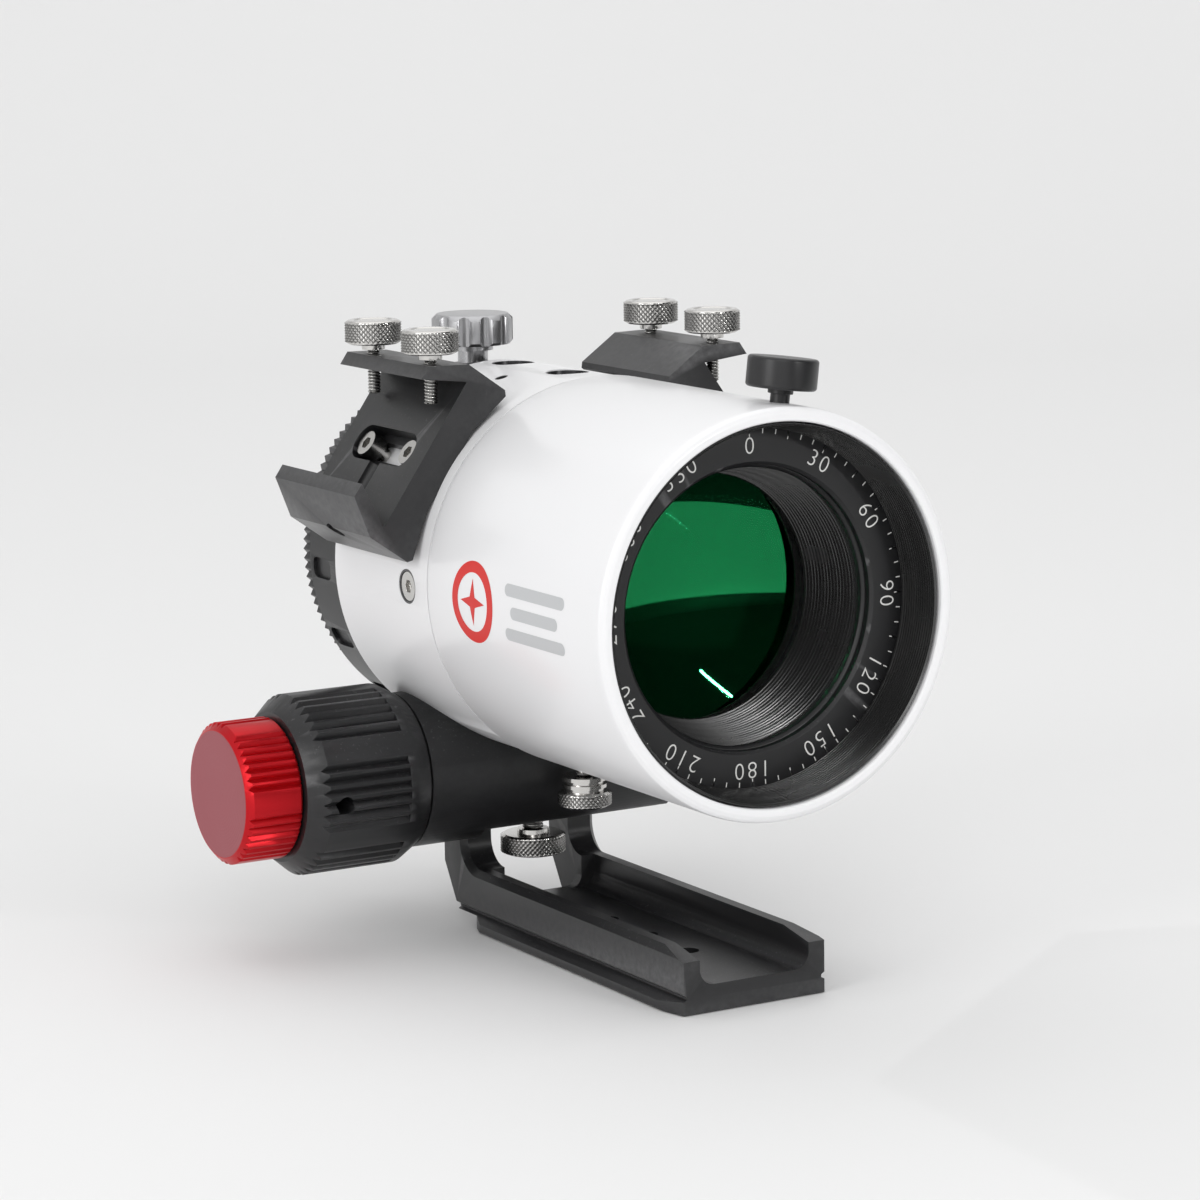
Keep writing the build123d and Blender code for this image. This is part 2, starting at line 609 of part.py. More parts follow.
def mid_arc(vertex_y, radius, rim):
    """Points of a spherical surface's meridian: vertex, half-way and rim."""
    def at(r):
        return (vertex_y + math.copysign(abs(radius) - math.sqrt(radius ** 2 - r ** 2), radius), AXIS_Z + r)
    return at(0.0), at(rim / 2), at(rim)


LENSES = (
    ("objective_front_lens", 27.2, 90.0, 40.0, -95.0, LENS_R - FIT),
    ("objective_middle_lens", 41.0, -90.0, 44.0, 110.0, LENS_R - FIT),
    ("objective_rear_lens", 44.6, 105.0, 53.0, 600.0, LENS_R - FIT),
    ("flattener_front_lens", 103.0, 80.0, 109.0, -200.0, 24.0),
    ("flattener_rear_lens", 111.5, -90.0, 114.5, 300.0, 24.0),
)
for label, front_y, front_radius, rear_y, rear_radius, rim in LENSES:
    front_arc = mid_arc(front_y, front_radius, rim)
    rear_arc = mid_arc(rear_y, rear_radius, rim)
    with BuildPart() as lens:
        with BuildSketch(Plane.YZ):
            with BuildLine():
                ThreePointArc(*front_arc)
                Line(front_arc[2], rear_arc[2])
                ThreePointArc(*rear_arc)
                Line(rear_arc[0], front_arc[0])
            make_face()
        revolve(axis=TUBE_AXIS)
    save(lens, label)

with BuildPart() as lens_spacers:
    with BuildSketch(Plane.YZ):
        Polygon(*about_tube((35.75, LENS_R - FIT), (36.3, LENS_R - FIT), (36.65, 27.2), (36.1, 27.2)))
        Polygon(*about_tube((47.8, LENS_R - FIT), (48.4, LENS_R - FIT), (48.1, 27.2), (47.5, 27.2)))
    revolve(axis=TUBE_AXIS)
save(lens_spacers, "lens_spacers")

with BuildPart() as lens_retaining_ring:
    with BuildSketch(Plane.YZ):
        Polygon(*about_tube((53.8, 30.5), (56.6, 30.5), (56.6, 27.4), (53.8, 27.4)))
    revolve(axis=TUBE_AXIS)
    with BuildSketch(across_tube(57.0)):
        with Locations((0, 0)):
            Rectangle(70, 1.6)
    extrude(amount=1.6, mode=Mode.SUBTRACT)
save(lens_retaining_ring, "lens_retaining_ring")

# ---------------------------------------------------------------- drawtube and its optics
with BuildPart() as drawtube:
    with BuildSketch(Plane.YZ):
        Polygon(*about_tube(
            (DRAW_FRONT_Y, DRAW_BORE_R), (DRAW_FRONT_Y, DRAW_R), (DRAW_REAR_Y, DRAW_R), (DRAW_REAR_Y, 30.0),
            (118.0, 30.0), (118.0, DRAW_BORE_R),
        ))
    revolve(axis=TUBE_AXIS)
    # flat seat of the rack
    with Locations((0, (RACK_FRONT_Y + RACK_REAR_Y) / 2, 48.2 - 5)):
        Box(7.8, RACK_REAR_Y - RACK_FRONT_Y, 10, mode=Mode.SUBTRACT)
    for y in RACK_SCREW_Y:
        with Locations((0, y, 48.0)):
            Cylinder(1.0, 8, mode=Mode.SUBTRACT)
save(drawtube, "drawtube")

with BuildPart() as rack_screws:
    for y in RACK_SCREW_Y:
        with BuildSketch(Plane.XY.offset(48.2)):
            with Locations((0, y)):
                Circle(1.0)
        extrude(amount=1.4)
        with BuildSketch(Plane.XY.offset(49.6)):
            with Locations((0, y)):
                Circle(1.8)
        extrude(amount=0.9)
save(rack_screws, "rack_screws")

with BuildPart() as drawtube_baffle:
    with BuildSketch(Plane.YZ):
        Polygon(*about_tube((59.0, DRAW_BORE_R), (61.4, DRAW_BORE_R), (60.2, 25.0), (59.8, 25.0)))
    revolve(axis=TUBE_AXIS)
save(drawtube_baffle, "drawtube_baffle")

with BuildPart() as flattener_cell:
    with BuildSketch(Plane.YZ):
        Polygon(*about_tube(
            (100.0, 23.0), (100.0, DRAW_BORE_R), (116.0, DRAW_BORE_R), (116.0, 24.05), (106.3, 24.05),
            (106.3, 23.0),
        ))
    revolve(axis=TUBE_AXIS)
save(flattener_cell, "flattener_cell")

# ---------------------------------------------------------------- camera rotator at the back
BASE_R = 40.3
SPIGOT_R = 36.0
BASE_FRONT_Y = 115.4
BASE_REAR_Y = 130.8
RECESS_Y = 124.8
RECESS_STEP = 24.0
ROTATOR_LOCK_Y = 126.5
with BuildPart() as rotator_base:
    with BuildSketch(Plane.YZ):
        Polygon(*about_tube(
            (BASE_FRONT_Y, DRAW_R), (BASE_FRONT_Y, BASE_R - 0.4), (BASE_FRONT_Y + 0.4, BASE_R),
            (BASE_REAR_Y - 0.4, BASE_R), (BASE_REAR_Y, BASE_R - 0.4), (BASE_REAR_Y, SPIGOT_R + FIT),
            (DRAW_REAR_Y + 0.2, SPIGOT_R + FIT),
            (DRAW_REAR_Y + 0.2, DRAW_R),
        ))
    revolve(axis=TUBE_AXIS)
    # finger recesses all round except below the lock knob
    for k in range(1, 15):
        with BuildSketch(radial(RECESS_Y, 2.0 - RECESS_STEP * k, BASE_R - 0.9)):
            RectangleRounded(8.2, 4.7, 1.6)
        extrude(amount=3, mode=Mode.SUBTRACT)
    with BuildSketch(radial(ROTATOR_LOCK_Y, 0, 30)):
        Circle(2.5 + FIT)
    extrude(amount=15, mode=Mode.SUBTRACT)
    # tapped holes of the screws that hold the base to the drawtube
    for k in range(3):
        with BuildSketch(radial(118.2, 60 + 120 * k, 34.0)):
            Circle(1.0)
        extrude(amount=8, mode=Mode.SUBTRACT)
save(rotator_base, "rotator_base")

with BuildPart() as rotator_base_screws:
    for k in range(3):
        with BuildSketch(radial(118.2, 60 + 120 * k, DRAW_R)):
            Circle(1.0)
        extrude(amount=4.0)
save(rotator_base_screws, "rotator_base_screws")

TOOTH_COUNT = 112
TOOTH_TIP_R = 38.6
TOOTH_ROOT_R = 37.7
with BuildPart() as rotator_ring:
    with BuildSketch(Plane.YZ):
        Polygon(*about_tube(
            (DRAW_REAR_Y + 0.4, 30.0), (DRAW_REAR_Y + 0.4, SPIGOT_R), (125.0, SPIGOT_R),
            (126.0, SPIGOT_R - 0.6), (127.0, SPIGOT_R - 0.6), (128.0, SPIGOT_R), (131.2, SPIGOT_R),
            (131.2, 30.0),
        ))
    revolve(axis=TUBE_AXIS)
    outline = []
    for k in range(TOOTH_COUNT):
        for half, r in ((0.0, TOOTH_TIP_R), (0.5, TOOTH_ROOT_R)):
            a = 2 * math.pi * (k + half) / TOOTH_COUNT
            outline.append((r * math.cos(a), r * math.sin(a)))
    with BuildSketch(across_tube(131.1)):
        Polygon(*outline)
        Circle(30.0, mode=Mode.SUBTRACT)
    extrude(amount=-6.1)
save(rotator_ring, "rotator_ring")

CAMERA_THREAD_R = 24.0
with BuildPart() as camera_adapter:
    with BuildSketch(Plane.YZ):
        Polygon(*about_tube(
            (128.0, 26.5), (128.0, 30.0), (137.2, 30.0), (137.2, 34.0), (141.0, 34.0), (141.6, 33.4),
            (141.6, CAMERA_THREAD_R), (134.6, CAMERA_THREAD_R), (134.6, 26.5),
        ))
    revolve(axis=TUBE_AXIS)
save(camera_adapter, "camera_adapter")

LOBES = 11
KNOB_R = 9.15
with BuildPart() as rotator_lock_knob:
    with BuildSketch(Plane.XY.offset(AXIS_Z + 44.6)):
        with Locations((0, ROTATOR_LOCK_Y)):
            Circle(KNOB_R)
    extrude(amount=6.8)
    chamfer(rotator_lock_knob.edges().filter_by(GeomType.CIRCLE).sort_by(Axis.Z)[-1], length=1.1)
    chamfer(rotator_lock_knob.edges().filter_by(GeomType.CIRCLE).sort_by(Axis.Z)[0], length=0.7)
    with BuildSketch(Plane.XY.offset(AXIS_Z + 44)):
        with Locations((0, ROTATOR_LOCK_Y)):
            with PolarLocations(KNOB_R + 1.0, LOBES):
                Circle(1.9)
    extrude(amount=10, mode=Mode.SUBTRACT)
    with BuildSketch(Plane.XY.offset(AXIS_Z + BASE_R + 0.1)):
        with Locations((0, ROTATOR_LOCK_Y)):
            Circle(3.4)
    extrude(amount=4.2)
    with BuildSketch(Plane.XY.offset(AXIS_Z + 43.2)):
        with Locations((0, ROTATOR_LOCK_Y)):
            Circle(4.6)
    extrude(amount=1.4)
    with BuildSketch(Plane.XY.offset(AXIS_Z + SPIGOT_R + 0.2)):
        with Locations((0, ROTATOR_LOCK_Y)):
            Circle(2.5)
    extrude(amount=6)
save(rotator_lock_knob, "rotator_lock_knob")

# ---------------------------------------------------------------- dew shield and its lock knob
SHIELD_LOCK_Y = 8.0
SHIELD_LOCK_ANGLE = 7.0
SHIELD_LOCK_HEAD_R = 7.25
with BuildPart() as dew_shield:
    with BuildSketch(Plane.YZ):
        with BuildLine():
            Polyline(about_tube(
                (1.6, SHIELD_R), (SHIELD_LENGTH - 2.0, SHIELD_R), (SHIELD_LENGTH, SHIELD_R - 0.5),
                (SHIELD_LENGTH, SHIELD_BORE_R), (0.3, SHIELD_BORE_R), (0, SHIELD_BORE_R + 0.3),
                (0, SHIELD_R - 1.6),
            ))
            RadiusArc((0, AXIS_Z + SHIELD_R - 1.6), (1.6, AXIS_Z + SHIELD_R), 1.6)
        make_face()
    revolve(axis=TUBE_AXIS)
    with BuildSketch(radial(SHIELD_LOCK_Y, SHIELD_LOCK_ANGLE, 36)):
        Circle(2.0 + FIT)
    extrude(amount=10, mode=Mode.SUBTRACT)
save(dew_shield, "dew_shield")

with BuildPart() as dew_shield_lock_knob:
    with BuildSketch(radial(SHIELD_LOCK_Y, SHIELD_LOCK_ANGLE, BARREL_R + 0.25)):
        Circle(2.0)
    extrude(amount=5.5)
    with BuildSketch(radial(SHIELD_LOCK_Y, SHIELD_LOCK_ANGLE, BARREL_R + 5.2)):
        Circle(2.6)
    extrude(amount=1.0)
    with BuildSketch(radial(SHIELD_LOCK_Y, SHIELD_LOCK_ANGLE, BARREL_R + 6.2)):
        Circle(SHIELD_LOCK_HEAD_R)
    extrude(amount=6.4)
    head_rims = dew_shield_lock_knob.edges().filter_by(GeomType.CIRCLE)
    fillet(head_rims.filter_by(lambda e: e.radius > 7), radius=0.7)
save(dew_shield_lock_knob, "dew_shield_lock_knob")

# ---------------------------------------------------------------- finder shoes
tilt = math.radians(SHOE_TILT)
SHOE_PLANE = Plane(
    origin=(0, SHOE_MID_Y - SHOE_LENGTH / 2, AXIS_Z),
    x_dir=(-math.cos(tilt), 0, math.sin(tilt)),
    z_dir=(0, 1, 0),
)
SHOE_FACE = Plane(
    origin=(-SHOE_FLOOR * math.cos(tilt), SHOE_MID_Y, AXIS_Z + SHOE_FLOOR * math.sin(tilt)),
    x_dir=(0, 1, 0),
    z_dir=(-math.cos(tilt), 0, math.sin(tilt)),
)
half_outline = [
    (41.6, 10.0), (38.9, 20.2), (39.8, 21.2), (50.4, 21.2), (58.3, 15.9), (58.3, 12.7), (SHOE_FLOOR, 17.9),
]
CLAMP_SEAT_Z = 129.1
with BuildPart() as left_finder_shoe:
    with BuildSketch(SHOE_PLANE):
        Polygon(*half_outline, *[(n, -t) for n, t in reversed(half_outline)])
    extrude(amount=SHOE_LENGTH)
    with BuildSketch(across_tube(160)):
        Circle(TUBE_R + 0.02)
    extrude(amount=100, mode=Mode.SUBTRACT)
    # stepped slot for the two fixing screws
    with BuildSketch(SHOE_FACE):
        SlotOverall(26.0, 8.2)
    extrude(amount=-4.2, mode=Mode.SUBTRACT)
    with BuildSketch(SHOE_FACE):
        SlotOverall(23.4, 4.6)
    extrude(amount=-10, mode=Mode.SUBTRACT)
    # round relief across the floor's lower half and through the lower wall
    with BuildSketch(Plane(origin=SHOE_FACE.origin, x_dir=(0, 1, 0), z_dir=SHOE_FACE.y_dir)):
        Circle(2.3)
    extrude(amount=30, mode=Mode.SUBTRACT)
    for y in (SHOE_MID_Y - CLAMP_SPACING / 2, SHOE_MID_Y + CLAMP_SPACING / 2):
        with Locations((-CLAMP_X, y, CLAMP_SEAT_Z)):
            Cylinder(1.5, 9, mode=Mode.SUBTRACT)
save(left_finder_shoe, "left_finder_shoe")

with BuildPart() as right_finder_shoe:
    add(mirror(left_finder_shoe.part, about=Plane.YZ, mode=Mode.PRIVATE))
save(right_finder_shoe, "right_finder_shoe")

for side, sign in (("left", -1), ("right", 1)):
    with BuildPart() as shoe_screws:
        for y in (SHOE_MID_Y - SHOE_SCREW_SPACING / 2, SHOE_MID_Y + SHOE_SCREW_SPACING / 2):
            turn = sign * (90 - SHOE_TILT)
            with BuildSketch(radial(y, turn, SHOE_FLOOR - 4.2)):
                Circle(2.85)
            extrude(amount=1.6)
            with BuildSketch(radial(y, turn, SHOE_FLOOR - 2.6)):
                Circle(2.85)
                RegularPolygon(1.45, 6, mode=Mode.SUBTRACT)
            extrude(amount=1.9)
            with BuildSketch(radial(y, turn, 38.4)):
                Circle(1.5)
            extrude(amount=SHOE_FLOOR - 4.2 - 38.4)
    save(shoe_screws, f"{side}_shoe_screws")

    for place, y in (("front", SHOE_MID_Y - CLAMP_SPACING / 2), ("rear", SHOE_MID_Y + CLAMP_SPACING / 2)):
        with BuildPart() as clamp_screw:
            with BuildSketch(Plane.XY.offset(CLAMP_SEAT_Z + 2.1)):
                with Locations((sign * CLAMP_X, y)):
                    Circle(6.2)
            extrude(amount=5.2)
            chamfer(clamp_screw.edges().filter_by(GeomType.CIRCLE), length=0.6)
            with BuildSketch(Plane.XY.offset(CLAMP_SEAT_Z + 0.9)):
                with Locations((sign * CLAMP_X, y)):
                    Circle(2.6)
            extrude(amount=1.2)
            with BuildSketch(Plane.XY.offset(120.4)):
                with Locations((sign * CLAMP_X, y)):
                    Circle(1.45)
            extrude(amount=CLAMP_SEAT_Z + 0.9 - 120.4)
        save(clamp_screw, f"{side}_{place}_clamp_screw")
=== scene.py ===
import json
import math

import bmesh
import bpy
from mathutils import Matrix, Quaternion, Vector


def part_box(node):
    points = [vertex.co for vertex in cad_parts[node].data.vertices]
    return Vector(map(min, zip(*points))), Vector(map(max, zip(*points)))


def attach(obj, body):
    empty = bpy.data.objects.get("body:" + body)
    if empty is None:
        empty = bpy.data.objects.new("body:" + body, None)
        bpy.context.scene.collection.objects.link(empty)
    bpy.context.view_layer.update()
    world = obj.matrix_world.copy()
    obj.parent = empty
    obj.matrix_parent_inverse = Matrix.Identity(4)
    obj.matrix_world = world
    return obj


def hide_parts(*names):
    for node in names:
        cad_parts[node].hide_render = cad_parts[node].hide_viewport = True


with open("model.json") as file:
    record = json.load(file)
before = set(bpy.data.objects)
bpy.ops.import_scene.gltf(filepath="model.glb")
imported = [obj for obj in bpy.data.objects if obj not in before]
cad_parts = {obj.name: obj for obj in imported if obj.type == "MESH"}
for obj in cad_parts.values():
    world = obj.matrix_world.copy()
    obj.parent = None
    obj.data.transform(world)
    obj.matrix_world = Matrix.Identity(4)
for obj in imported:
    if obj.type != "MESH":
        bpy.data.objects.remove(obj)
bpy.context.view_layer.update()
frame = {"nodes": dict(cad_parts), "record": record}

bl_info = {
    "name": "Short Astrograph Looks",
    "version": (1, 0, 0),
    "blender": (4, 5, 0),
    "location": "3D View > Sidebar > Astrograph",
    "description": "Visible pieces, finishes and studio of a short white refractor on a dovetail foot",
    "category": "Object",
}

# ---------------------------------------------------------------- places taken from the frame
MM = 0.001
BODY_OF = {n: body for body, nodes in frame["record"]["behaviour"]["bodies"].items() for n in nodes}
SLOT_OF = {s["node"]: s["material_slot"] for s in frame["record"]["subparts"]}
X, Y, Z = Vector((1, 0, 0)), Vector((0, 1, 0)), Vector((0, 0, 1))


def middle(node):
    """Centre of a node's box."""
    low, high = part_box(node)
    return (low + high) / 2


AXIS_Z = middle("stepped_baffle").z
RIM = Vector((0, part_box("dew_shield")[0].y, AXIS_Z))      # centre of the front rim
KNOB_AXIS = middle("coarse_knob")
SHIELD_R = (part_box("dew_shield")[1].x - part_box("dew_shield")[0].x) / 2 / MM

# ---------------------------------------------------------------- values used in more than one place
ENAMEL_ROUGHNESS = 0.30
PLATE_ROUGHNESS = 0.16
INK_ROUGHNESS = 0.42
FILM_ALPHA = 0.006             # how much of the front glass is reflection, the rest is clear
COATING_SHARE = 0.22           # how much of the coating's colour the inner glass reflects
FLAT_POINTINESS = 0.53         # above this a face counts as an edge
EDGE_GAIN = 12.0
TICK_RADIUS = 36.3             # millimetres, on the dial
LONG_TICK_RADIUS = 36.0
NUMBER_RADIUS = 33.2
CAMERA_TURN = (30.460, 9.628, -0.870)             # yaw, pitch and roll in degrees
CAMERA_PLACE = (-434.72, -720.97, 221.65)         # millimetres


# ---------------------------------------------------------------- settings
class FinishSettings(bpy.types.PropertyGroup):
    """Colours of the painted and anodised pieces."""
    paint: bpy.props.FloatVectorProperty(
        name="Paint", description="White enamel of the tube and dew shield", subtype="COLOR",
        size=4, default=(0.80, 0.80, 0.81, 1))
    black: bpy.props.FloatVectorProperty(
        name="Black", description="Black anodised aluminium", subtype="COLOR",
        size=4, default=(0.012, 0.012, 0.013, 1))
    red: bpy.props.FloatVectorProperty(
        name="Red", description="Red anodised fine focus knob", subtype="COLOR",
        size=4, default=(0.52, 0.006, 0.012, 1))
    mark_red: bpy.props.FloatVectorProperty(
        name="Red mark", description="Red print on the dew shield", subtype="COLOR",
        size=4, default=(0.62, 0.015, 0.010, 1))
    mark_grey: bpy.props.FloatVectorProperty(
        name="Grey mark", description="Grey print on the dew shield", subtype="COLOR",
        size=4, default=(0.50, 0.51, 0.52, 1))
    coating: bpy.props.FloatVectorProperty(
        name="Lens coating", description="Colour that the coated glass reflects", subtype="COLOR",
        size=4, default=(0.04, 0.75, 0.24, 1))


class KnurlSettings(bpy.types.PropertyGroup):
    """Sizes of the diamond knurl and of the screw threads."""
    diamonds: bpy.props.IntProperty(
        name="Diamonds", description="Diamonds round a clamp screw", default=34, min=8)
    depth: bpy.props.FloatProperty(
        name="Depth", description="Depth of the knurl", default=0.00045, subtype="DISTANCE", unit="LENGTH")
    thread_pitch: bpy.props.FloatProperty(
        name="Thread pitch", description="Rise of the thread in one turn", default=0.0007,
        subtype="DISTANCE", unit="LENGTH")
    thread_depth: bpy.props.FloatProperty(
        name="Thread depth", description="Depth of the thread", default=0.00032,
        subtype="DISTANCE", unit="LENGTH")


class DialSettings(bpy.types.PropertyGroup):
    """The scale printed on the ring in front of the lens."""
    ticks: bpy.props.IntProperty(name="Ticks", description="Short ticks round the ring", default=72, min=12)
    numbers: bpy.props.IntProperty(name="Numbers", description="Numbers round the ring", default=12, min=2)
    height: bpy.props.FloatProperty(
        name="Number height", description="Height of the numbers", default=0.0050,
        subtype="DISTANCE", unit="LENGTH")


class StageSettings(bpy.types.PropertyGroup):
    """Camera, floor and light."""
    lens: bpy.props.FloatProperty(
        name="Lens", description="Focal length on a 36 mm sensor", default=120.85, subtype="DISTANCE_CAMERA")
    floor: bpy.props.FloatVectorProperty(
        name="Floor", description="Seamless paper", subtype="COLOR", size=4, default=(0.80, 0.80, 0.80, 1))
    key: bpy.props.FloatProperty(
        name="Key light", description="Power of the soft box on the left", default=4.0, unit="POWER")
    sky: bpy.props.FloatProperty(
        name="Surroundings", description="Strength of the even light from all round", default=0.80)


# ---------------------------------------------------------------- node graphs
class Graph:
    """Adds nodes to a tree. Each call returns the new node's first output."""

    def __init__(self, tree):
        self.tree = tree

    def add(self, kind, *values, **settings):
        node = self.tree.nodes.new(kind)
        for key, value in settings.items():
            setattr(node, key, value)
        for socket, value in zip(node.inputs, values):
            self.feed(socket, value)
        return node.outputs[0]

    def feed(self, socket, value):
        if isinstance(value, bpy.types.NodeSocket):
            self.tree.links.new(value, socket)
        elif value is not None:
            socket.default_value = value

    def math(self, operation, *values):
        return self.add("ShaderNodeMath", *values, operation=operation)

    def vector(self, operation, *values):
        return self.add("ShaderNodeVectorMath", *values, operation=operation)


def sockets(tree, inputs, outputs):
    """Give a new group its named sockets, and return its input and output nodes."""
    for name, kind, default in inputs:
        socket = tree.interface.new_socket(name, in_out="INPUT", socket_type=kind)
        if default is not None:
            socket.default_value = default
    for name, kind in outputs:
        tree.interface.new_socket(name, in_out="OUTPUT", socket_type=kind)
    return tree.nodes.new("NodeGroupInput"), tree.nodes.new("NodeGroupOutput")


def once(name, kind, build):
    """The node group of that name, built the first time that it is asked for."""
    if name not in bpy.data.node_groups:
        build(bpy.data.node_groups.new(name, kind))
    return bpy.data.node_groups[name]


# ---------------------------------------------------------------- geometry node trees
def build_relief(tree, crossed):
    """Cut a band of a turned surface about the Z direction: crossed grooves, or one helix."""
    given, result = sockets(
        tree,
        [("Geometry", "NodeSocketGeometry", None), ("Centre", "NodeSocketVector", None),
         ("Starts", "NodeSocketFloat", 1.0), ("Pitch", "NodeSocketFloat", 0.001),
         ("Low", "NodeSocketFloat", 0.0), ("High", "NodeSocketFloat", 0.0),
         ("Least Radius", "NodeSocketFloat", 0.0), ("Greatest Radius", "NodeSocketFloat", 1.0),
         ("Depth", "NodeSocketFloat", 0.0003), ("Material", "NodeSocketMaterial", None)],
        [("Geometry", "NodeSocketGeometry")])
    g = Graph(tree)
    put = given.outputs
    offset = g.vector("SUBTRACT", g.add("GeometryNodeInputPosition"), put["Centre"])
    split = g.add("ShaderNodeSeparateXYZ", offset).node.outputs
    radius = g.math("SQRT", g.math("ADD", g.math("POWER", split[0], 2.0), g.math("POWER", split[1], 2.0)))
    turn = g.math("DIVIDE", g.math("ARCTAN2", split[1], split[0]), math.tau)
    around = g.math("MULTIPLY", turn, put["Starts"])
    rise = g.math("DIVIDE", g.math("SUBTRACT", split[2], put["Low"]), put["Pitch"])
    height = g.math("PINGPONG", g.math("ADD", around, rise), 0.5)
    if crossed:
        height = g.math("MINIMUM", height, g.math("PINGPONG", g.math("SUBTRACT", around, rise), 0.5))
    cut = g.math("SUBTRACT", 1.0, g.math("MULTIPLY", height, 2.0))
    for inside in (
        g.math("GREATER_THAN", split[2], put["Low"]), g.math("LESS_THAN", split[2], put["High"]),
        g.math("GREATER_THAN", radius, put["Least Radius"]),
        g.math("LESS_THAN", radius, put["Greatest Radius"]),
    ):
        cut = g.math("MULTIPLY", cut, inside)
    # The stored valley depth also drives the painted shade of the plated finish.
    kept = g.add("GeometryNodeStoreNamedAttribute", put["Geometry"], domain="POINT", data_type="FLOAT")
    g.feed(kept.node.inputs["Name"], "knurl_valley" if crossed else "thread_valley")
    g.feed(kept.node.inputs["Value"], cut)
    share = g.math("DIVIDE", g.math("MULTIPLY", cut, put["Depth"]), g.math("MAXIMUM", radius, 1e-6))
    inwards = g.math("MULTIPLY", share, -1.0)
    move = g.add("ShaderNodeCombineXYZ", g.math("MULTIPLY", split[0], inwards),
                 g.math("MULTIPLY", split[1], inwards), 0.0)
    moved = g.add("GeometryNodeSetPosition", kept, None, None, move)
    real = g.add("GeometryNodeRealizeInstances", moved)
    g.feed(result.inputs[0], g.add("GeometryNodeSetMaterial", real, None, put["Material"]))


def build_ticks(tree):
    """Short bars round a circle that faces along Y, one at each step."""
    given, result = sockets(
        tree,
        [("Geometry", "NodeSocketGeometry", None), ("Centre", "NodeSocketVector", None),
         ("Radius", "NodeSocketFloat", 0.03), ("Count", "NodeSocketInt", 12),
         ("Bar", "NodeSocketVector", None), ("Material", "NodeSocketMaterial", None)],
        [("Geometry", "NodeSocketGeometry")])
    g = Graph(tree)
    put = given.outputs
    circle = g.add("GeometryNodeMeshCircle", put["Count"], put["Radius"], fill_type="NONE")
    angle = g.math("DIVIDE", g.math("MULTIPLY", g.add("GeometryNodeInputIndex"), math.tau), put["Count"])
    bar = g.add("GeometryNodeMeshCube", put["Bar"])
    turned_by = g.add("ShaderNodeCombineXYZ", 0.0, 0.0, angle)
    bars = g.add("GeometryNodeInstanceOnPoints", circle, None, bar, None, None, turned_by)
    upright = g.add("GeometryNodeTransform", bars)
    upright.node.inputs["Rotation"].default_value = (math.pi / 2, 0, 0)
    g.feed(upright.node.inputs["Translation"], put["Centre"])
    real = g.add("GeometryNodeRealizeInstances", upright)
    g.feed(result.inputs[0], g.add("GeometryNodeSetMaterial", real, None, put["Material"]))


def knurl_tree():
    return once("Diamond Knurl", "GeometryNodeTree", lambda tree: build_relief(tree, True))


def thread_tree():
    return once("Screw Thread", "GeometryNodeTree", lambda tree: build_relief(tree, False))


def tick_tree():
    return once("Dial Ticks", "GeometryNodeTree", build_ticks)


def grown(piece, *steps):
    """Run geometry node trees on a piece, and keep the result as its plain mesh."""
    for tree, values in steps:
        modifier = piece.modifiers.new(tree.name, "NODES")
        modifier.node_group = tree
        for item in tree.interface.items_tree:
            if item.in_out == "INPUT" and item.name in values:
                modifier[item.identifier] = values[item.name]
    return baked(piece)


def baked(piece):
    """Replace a piece's mesh by what its modifiers make of it, and remove them."""
    bpy.context.view_layer.update()
    evaluated = piece.evaluated_get(bpy.context.evaluated_depsgraph_get())
    mesh = bpy.data.meshes.new_from_object(evaluated)
    piece.modifiers.clear()
    piece.data = mesh
    mesh.name = piece.name
    return piece


# ---------------------------------------------------------------- shader groups
def build_grain(tree):
    """Fine unevenness of a blasted or painted surface."""
    given, result = sockets(
        tree, [("Scale", "NodeSocketFloat", 4000.0), ("Unevenness", "NodeSocketFloat", 0.5)],
        [("Height", "NodeSocketFloat"), ("Value", "NodeSocketFloat")])
    g = Graph(tree)
    place = g.add("ShaderNodeTexCoord").node.outputs["Object"]
    fine = g.add("ShaderNodeTexNoise", place, None, given.outputs["Scale"], 3.0, 0.6)
    broad = g.add("ShaderNodeTexNoise", place, None, 60.0, 2.0, 0.5)
    g.feed(result.inputs[0], fine)
    centred = g.math("SUBTRACT", broad, 0.5)
    g.feed(result.inputs[1], g.math("MULTIPLY", centred, given.outputs["Unevenness"]))


def build_turning(tree):
    """Fine rings that a lathe tool leaves about an axis through Centre; Across masks out the axis."""
    given, result = sockets(
        tree,
        [("Centre", "NodeSocketVector", None), ("Across", "NodeSocketVector", None),
         ("Rings", "NodeSocketFloat", 9000.0)],
        [("Height", "NodeSocketFloat")])
    g = Graph(tree)
    place = g.add("ShaderNodeTexCoord").node.outputs["Object"]
    from_centre = g.vector("SUBTRACT", place, given.outputs["Centre"])
    offset = g.vector("MULTIPLY", from_centre, given.outputs["Across"])
    distance = g.vector("LENGTH", offset).node.outputs["Value"]
    wander = g.math("MULTIPLY", g.add("ShaderNodeTexNoise", place, None, 900.0, 2.0, 0.5), 2.0)
    phase = g.math("ADD", g.math("MULTIPLY", distance, given.outputs["Rings"]), wander)
    g.feed(result.inputs[0], g.math("SINE", phase))


